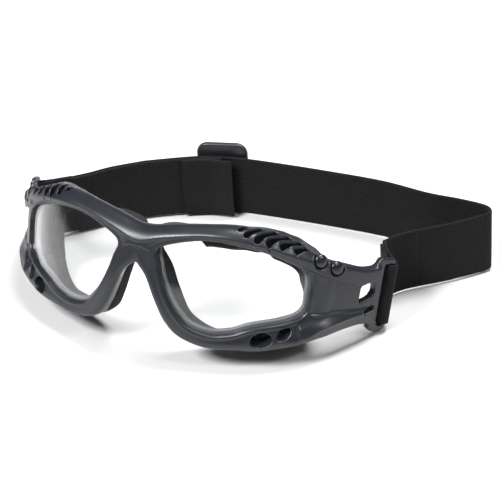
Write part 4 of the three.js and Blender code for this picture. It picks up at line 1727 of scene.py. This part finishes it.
@dataclass
class HeadStrap:
    """The elastic head strap: sewn loops at the lugs, sides, back, returned layer and its flap."""

    width: float = 25.0
    bottom: float = 1.0
    bar_radius: float = 1.25
    bar_gap: float = 0.15
    slot_height: float = 23.2
    end_gap: float = 0.4
    rest_gap: float = 0.12
    loop_share: float = 0.36
    returned_share: float = 0.15

    BEND_LEFT = (67.4, 24.1)
    BEND_RIGHT = (64.1, 19.7)
    JOIN_RIGHT = (-43.0, 41.4)
    SLIDER_AT = (-16.3, 55.6)
    LEFT = (BEND_LEFT, (72.1, 32.0), (84.8, 44.0), (93.9, 54.2))
    BACK = (
        (93.9, 54.2), (95.6, 57.6), (92.4, 60.8), (82.0, 61.4), (69.0, 60.9), (50.0, 62.4),
        (28.0, 61.2), (6.0, 59.2), (-8.0, 57.4), SLIDER_AT, (-27.0, 51.4), JOIN_RIGHT,
    )
    RIGHT = ((-64.0, 19.8), (-58.8, 25.2), (-52.7, 32.6), JOIN_RIGHT)
    RETURNED = (*RIGHT, (-27.0, 51.4), SLIDER_AT)
    FLAP = (JOIN_RIGHT, (-27.0, 51.4), SLIDER_AT, (-8.0, 57.4))
    FLAP_SPAN = (-31.0, -11.6)

    def __post_init__(self) -> None:
        """One webbing for all lengths."""
        self.webbing = Webbing()
        self.layer = self.webbing.thickness + self.rest_gap

    def upright(self, plan: np.ndarray) -> tuple[np.ndarray, np.ndarray]:
        """Lower edge and width vectors of a band that stands upright on a plan path."""
        feet = np.column_stack([plan, np.full(len(plan), self.bottom)])
        return feet, np.tile([0.0, 0.0, self.width], (len(plan), 1))

    def beside(self, plan: np.ndarray, offset: np.ndarray | float) -> np.ndarray:
        """A plan path moved sideways.

        Args:
            plan: The path's points.
            offset: How far to the left of the way, one for all or one for each point.

        Returns:
            The moved points.
        """
        ahead = unit(np.gradient(plan, axis=0))
        inward = np.column_stack([-ahead[:, 1], ahead[:, 0]])
        return plan + inward * np.asarray(offset).reshape(-1, 1)

    def blend(self, piece: bpy.types.Object) -> None:
        """Bakes a piece's placement into its mesh.

        Args:
            piece: The piece.
        """
        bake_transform(piece)

    def loop(self, side: str, bend: tuple[float, float], outer: float, inner: float) -> None:
        """A sewn loop: in along the outer layer, round the lug's bar, and back as the inner one.

        Args:
            side: left or right.
            bend: Plan point that the layers head for, on the +X side.
            outer: Share of the way to the bend at which the outer layer starts.
            inner: Share at which the inner layer ends.
        """
        up, lug_in = FRONT.LUG_UP, FRONT.LUG_IN
        bar = FRONT.LUG_ORIGIN + FRONT.lug_along * FRONT.bar_along + up * self.end_gap
        bar = bar + lug_in * FRONT.lug_half
        run = np.array([*bend, self.bottom]) - bar
        ahead = unit(run - run @ up * up)
        aside = unit(np.cross(up, ahead))
        radius = self.bar_radius + self.bar_gap + self.webbing.thickness / 2

        def leg(shares: np.ndarray, sign: float) -> np.ndarray:
            """One layer's lower edge, which closes in from the bar's radius to half a layer."""
            away = np.interp(shares, [0, 0.5], [radius, self.layer / 2])
            return bar + shares[:, None] * run + sign * away[:, None] * aside

        shares, shares_in = np.linspace(outer, 0.02, 26), np.linspace(0.02, inner, 26)
        angle = math.pi * (-0.5 - np.linspace(0, 1, 22))
        turn = bar + radius * (np.sin(angle)[:, None] * aside + np.cos(angle)[:, None] * ahead)
        feet = np.concatenate([leg(shares, -1.0), turn, leg(shares_in, 1.0)])
        share = np.concatenate([shares, np.zeros(len(angle)), shares_in])[:, None]
        turned = share * share * (3 - 2 * share)
        on_bar = up * (self.slot_height - 2 * self.end_gap)
        widths = on_bar * (1 - turned) + np.array([0, 0, self.width]) * turned
        sign = np.array([SIDES[side], 1, 1])
        feet, widths = feet * sign, widths * sign
        if side == "left":
            feet, widths = feet[::-1], widths[::-1]
        piece = self.webbing.strip(f"lug_loop_{side}", feet, widths)
        body = Body.LOOP_LEFT if side == "left" else Body.LOOP_RIGHT
        finish_piece(piece, body, WEBBING, [f"strap_loop_{side}"])

    def side(self, side: str, points: Sequence, replaces: Sequence[str]) -> None:
        """A side length in two parts: one near the loop, the other on to the back.

        Args:
            side: left or right.
            points: Plan points from the lug towards the back.
            replaces: The CAD node that the rear part stands for.
        """
        plan = even_path(points, 60)
        cut = int(len(plan) * self.loop_share)
        loop = Body.LOOP_LEFT if side == "left" else Body.LOOP_RIGHT
        parts = (
            ("front", plan[: cut + 1], loop, Body.FRAME, ()),
            ("rear", plan[cut:], Body.FRAME, Body.REAR, replaces),
        )
        for part, path, near, far, nodes in parts:
            feet, widths = self.upright(path if side == "left" else path[::-1])
            piece = self.webbing.strip(f"side_strap_{side}_{part}", feet, widths)
            finish_piece(piece, None, WEBBING, nodes)
            self.blend(piece)

    def returned(self) -> None:
        """The inner layer from the right lug's loop back to the slider, in two parts."""
        path = self.beside(even_path(self.RETURNED, 120), -self.layer)
        cut = round(len(path) * self.returned_share)
        front, rear = path[: cut + 1], path[cut:]
        parts = (
            ("front", front, Body.LOOP_RIGHT, Body.FRAME, (), front[[0, -1]]),
            ("rear", rear, Body.FRAME, Body.REAR, ("strap_return",), np.array([rear[0], self.JOIN_RIGHT])),
        )
        for part, way, near, far, nodes, ends in parts:
            feet, widths = self.upright(way[::-1])
            piece = self.webbing.strip(f"returned_layer_{part}", feet, widths, turned=True)
            finish_piece(piece, None, WEBBING, nodes)
            self.blend(piece)

    def back(self) -> None:
        """The main length behind the head."""
        feet, widths = self.upright(even_path(self.BACK, 260))
        piece = self.webbing.strip("back_strap", feet, widths)
        finish_piece(piece, Body.REAR, WEBBING, ["strap_back"])

    def build(self) -> None:
        """Makes every length of the strap."""
        self.loop("left", self.BEND_LEFT, 1.04, 0.86)
        self.loop("right", self.BEND_RIGHT, 1.05, 1.05)
        self.side("left", self.LEFT, ["strap_side_left"])
        self.side("right", self.RIGHT, ["strap_side_right"])
        self.back()
        self.returned()


@dataclass
class Slider:
    """The plastic adjuster outside the strap, with the sewn flap and the threaded strap on it."""

    width: float = 20.4
    height: float = 31.0
    thickness: float = 2.4
    corner: float = 4.6
    border: float = 2.8
    window_corner: float = 0.8
    edge_round: float = 1.3
    centre_bar: float = 3.0
    yaw: float = 0.306
    stands: float = 2.1
    step: float = 0.25
    thread_half: float = 7.4
    thread_rise: float = 1.6
    thread_gap: float = 0.2
    thread_flat: float = 1.5
    thread_foot: float = 6.8
    flap_lift: float = 0.9

    WINDOW_SPAN = (1.7, 24.7)

    def place(self, local: np.ndarray) -> np.ndarray:
        """Turns the slider's own coordinates into the maker's frame.

        Args:
            local: Points along the slider, up from its foot and outwards from its middle sheet.

        Returns:
            The points in the maker's frame.
        """
        ahead = np.array([math.cos(self.yaw), math.sin(self.yaw), 0])
        out = np.array([-math.sin(self.yaw), math.cos(self.yaw), 0])
        origin = np.array([*HeadStrap.SLIDER_AT, 0]) + out * self.stands
        along, up, off = (local[..., k : k + 1] for k in range(3))
        return origin + along * ahead + up * np.array([0, 0, 1]) + off * out

    def plate(self) -> None:
        """The plate with two windows: a rounded box less two rounded windows, edges eased."""
        half_w, half_h, half_t = self.width / 2, self.height / 2, self.thickness / 2
        low = np.array([-half_w - 1, -1.0, -half_t - 1])
        size = np.array([self.width + 2, self.height + 2, self.thickness + 2])
        axes = [start + self.step * np.arange(int(s / self.step) + 1) for start, s in zip(low, size)]
        a, u, n = np.meshgrid(*axes, indexing="ij")
        outline = box_distance(a, u - half_h, half_w, half_h, self.corner)
        body = smooth_max(outline, np.abs(n) - half_t, self.edge_round)
        near, far = self.centre_bar / 2, half_w - self.border
        foot, head = self.WINDOW_SPAN
        for sign in (-1, 1):
            across, up = a - sign * (near + far) / 2, u - (foot + head) / 2
            sizes = ((far - near) / 2, (head - foot) / 2, self.window_corner)
            body = smooth_max(body, -box_distance(across, up, *sizes), self.window_corner)
        points, faces = surface_net(body, low, self.step)
        points = self.place(relax(points, faces, 2))
        piece = make_piece("slider_plate", points, outward(points, [faces]))
        finish_piece(piece, Body.SLIDER, SLIDER_PLASTIC, ["strap_slider"])

    def threaded(self, strap: HeadStrap) -> None:
        """The strap where it rises through one window, over the middle bar and down the other.

        Args:
            strap: The strap that is threaded.
        """
        a = np.linspace(-self.thread_half, self.thread_half, 70)
        rise = 1 - smoothstep(self.thread_flat, self.thread_foot, np.abs(a))
        n = -self.stands + strap.webbing.thickness / 2 + (self.stands + self.thread_rise) * rise
        foot, head = self.WINDOW_SPAN[0] + self.thread_gap, self.WINDOW_SPAN[1] - self.thread_gap
        feet = self.place(np.column_stack([a, np.full(len(a), foot), n]))
        widths = np.tile([0.0, 0.0, head - foot], (len(a), 1))
        piece = strap.webbing.strip("threaded_strap", feet[::-1], widths)
        finish_piece(piece, Body.SLIDER, WEBBING)

    def flap(self, strap: HeadStrap) -> None:
        """The sewn flap on the head's side, which lifts a little towards its folded end.

        The lift clears the back strap when the slider is at the end of its travel.

        Args:
            strap: The strap that the flap lies on.
        """
        outer = even_path(strap.FLAP, 200)
        outer = outer[(outer[:, 0] > strap.FLAP_SPAN[0]) & (outer[:, 0] < strap.FLAP_SPAN[1])]
        reach = np.linspace(0, 1, len(outer))
        plan = strap.beside(outer, -2 * strap.layer - self.flap_lift * smoothstep(0.5, 1, reach))
        feet, widths = strap.upright(plan[::-1])
        piece = strap.webbing.strip("sewn_flap", feet, widths, turned=True)
        finish_piece(piece, Body.SLIDER, WEBBING)

    def build(self, strap: HeadStrap) -> None:
        """Makes the plate, the threaded strap and the flap.

        Args:
            strap: The strap that the slider is on.
        """
        self.plate()
        self.threaded(strap)
        self.flap(strap)


# ---------------------------------------------------------------- the studio


@dataclass(frozen=True)
class Lamp:
    """A square area light that faces the goggles. Metres and watts."""

    name: str
    place: tuple[float, float, float]
    size: float
    power: float

    def build(self) -> None:
        """Makes the light and turns it towards the goggles' middle."""
        data = bpy.data.lights.new(self.name, "AREA")
        data.size, data.energy = self.size, self.power
        lamp = bpy.data.objects.new(self.name, data)
        bpy.context.scene.collection.objects.link(lamp)
        lamp.location = self.place
        aim = np.array([0, 0, 0.02]) - np.array(self.place)
        lamp.rotation_euler = Vector(aim).to_track_quat("-Z", "Y").to_euler()


@dataclass
class Studio:
    """Pale floor, soft lights and the camera."""

    lens: float = 140.78
    sensor: float = 36.0
    nearest: float = 0.05
    ambient: float = 0.14
    floor_size: float = 12.0
    camera_place: tuple[float, float, float] = (319.3, -518.9, 410.7)

    CAMERA_AXES = np.array(
        [[0.886, -0.2081, 0.4143], [0.4602, 0.5038, -0.7311], [-0.0566, 0.8384, 0.5421]]
    )
    LAMPS = (
        Lamp("key", (-0.35, -0.65, 0.9), 0.36, 20.0),
        Lamp("top", (0.2, 0.35, 1.1), 0.45, 19.0),
        Lamp("side", (0.8, -0.1, 0.85), 0.2, 4.0),
    )

    def floor(self) -> None:
        """A wide pale floor."""
        bpy.ops.mesh.primitive_plane_add(size=self.floor_size, location=(0, 0, 0))
        plane = bpy.context.active_object
        plane.name = "studio_floor"
        WARDROBE.dress(plane, PALE_FLOOR)

    def world(self) -> None:
        """White to the camera, and a dim even light to all else."""
        world = bpy.data.worlds.new("studio")
        world.use_nodes = True
        nodes = Nodes(world.node_tree)
        background = world.node_tree.nodes["Background"]
        background.inputs["Color"].default_value = (1, 1, 1, 1)
        level = nodes.add("ShaderNodeMapRange")
        nodes.feed(level.inputs["To Min"], self.ambient)
        nodes.feed(level.inputs["To Max"], 1.0)
        nodes.feed(level.inputs["Value"], nodes.add("ShaderNodeLightPath").outputs["Is Camera Ray"])
        nodes.feed(background.inputs["Strength"], level.outputs["Result"])
        bpy.context.scene.world = world

    def camera(self) -> None:
        """The camera, with plain colours."""
        camera = bpy.data.cameras.new("camera")
        camera.lens, camera.sensor_width = self.lens, self.sensor
        camera.clip_start = self.nearest
        holder = bpy.data.objects.new("camera", camera)
        bpy.context.scene.collection.objects.link(holder)
        matrix = np.eye(4)
        matrix[:3, :3] = self.CAMERA_AXES
        matrix[:3, 3] = to_row(np.array(self.camera_place))
        holder.matrix_world = Matrix(matrix.tolist())
        bpy.context.scene.camera = holder
        bpy.context.scene.view_settings.view_transform = "Standard"

    def build(self) -> None:
        """Sets the floor, the world, the lights and the camera."""
        self.floor()
        self.world()
        for lamp in self.LAMPS:
            lamp.build()
        self.camera()


def main() -> None:
    """Builds every sub-assembly in order."""
    logging.basicConfig(level=logging.INFO, format="%(message)s")
    Studio().build()
    FRONT.build()
    Studs().build()
    EyeParts().build()
    strap = HeadStrap()
    strap.build()
    Slider().build(strap)


if __name__ == "__main__":
    main()
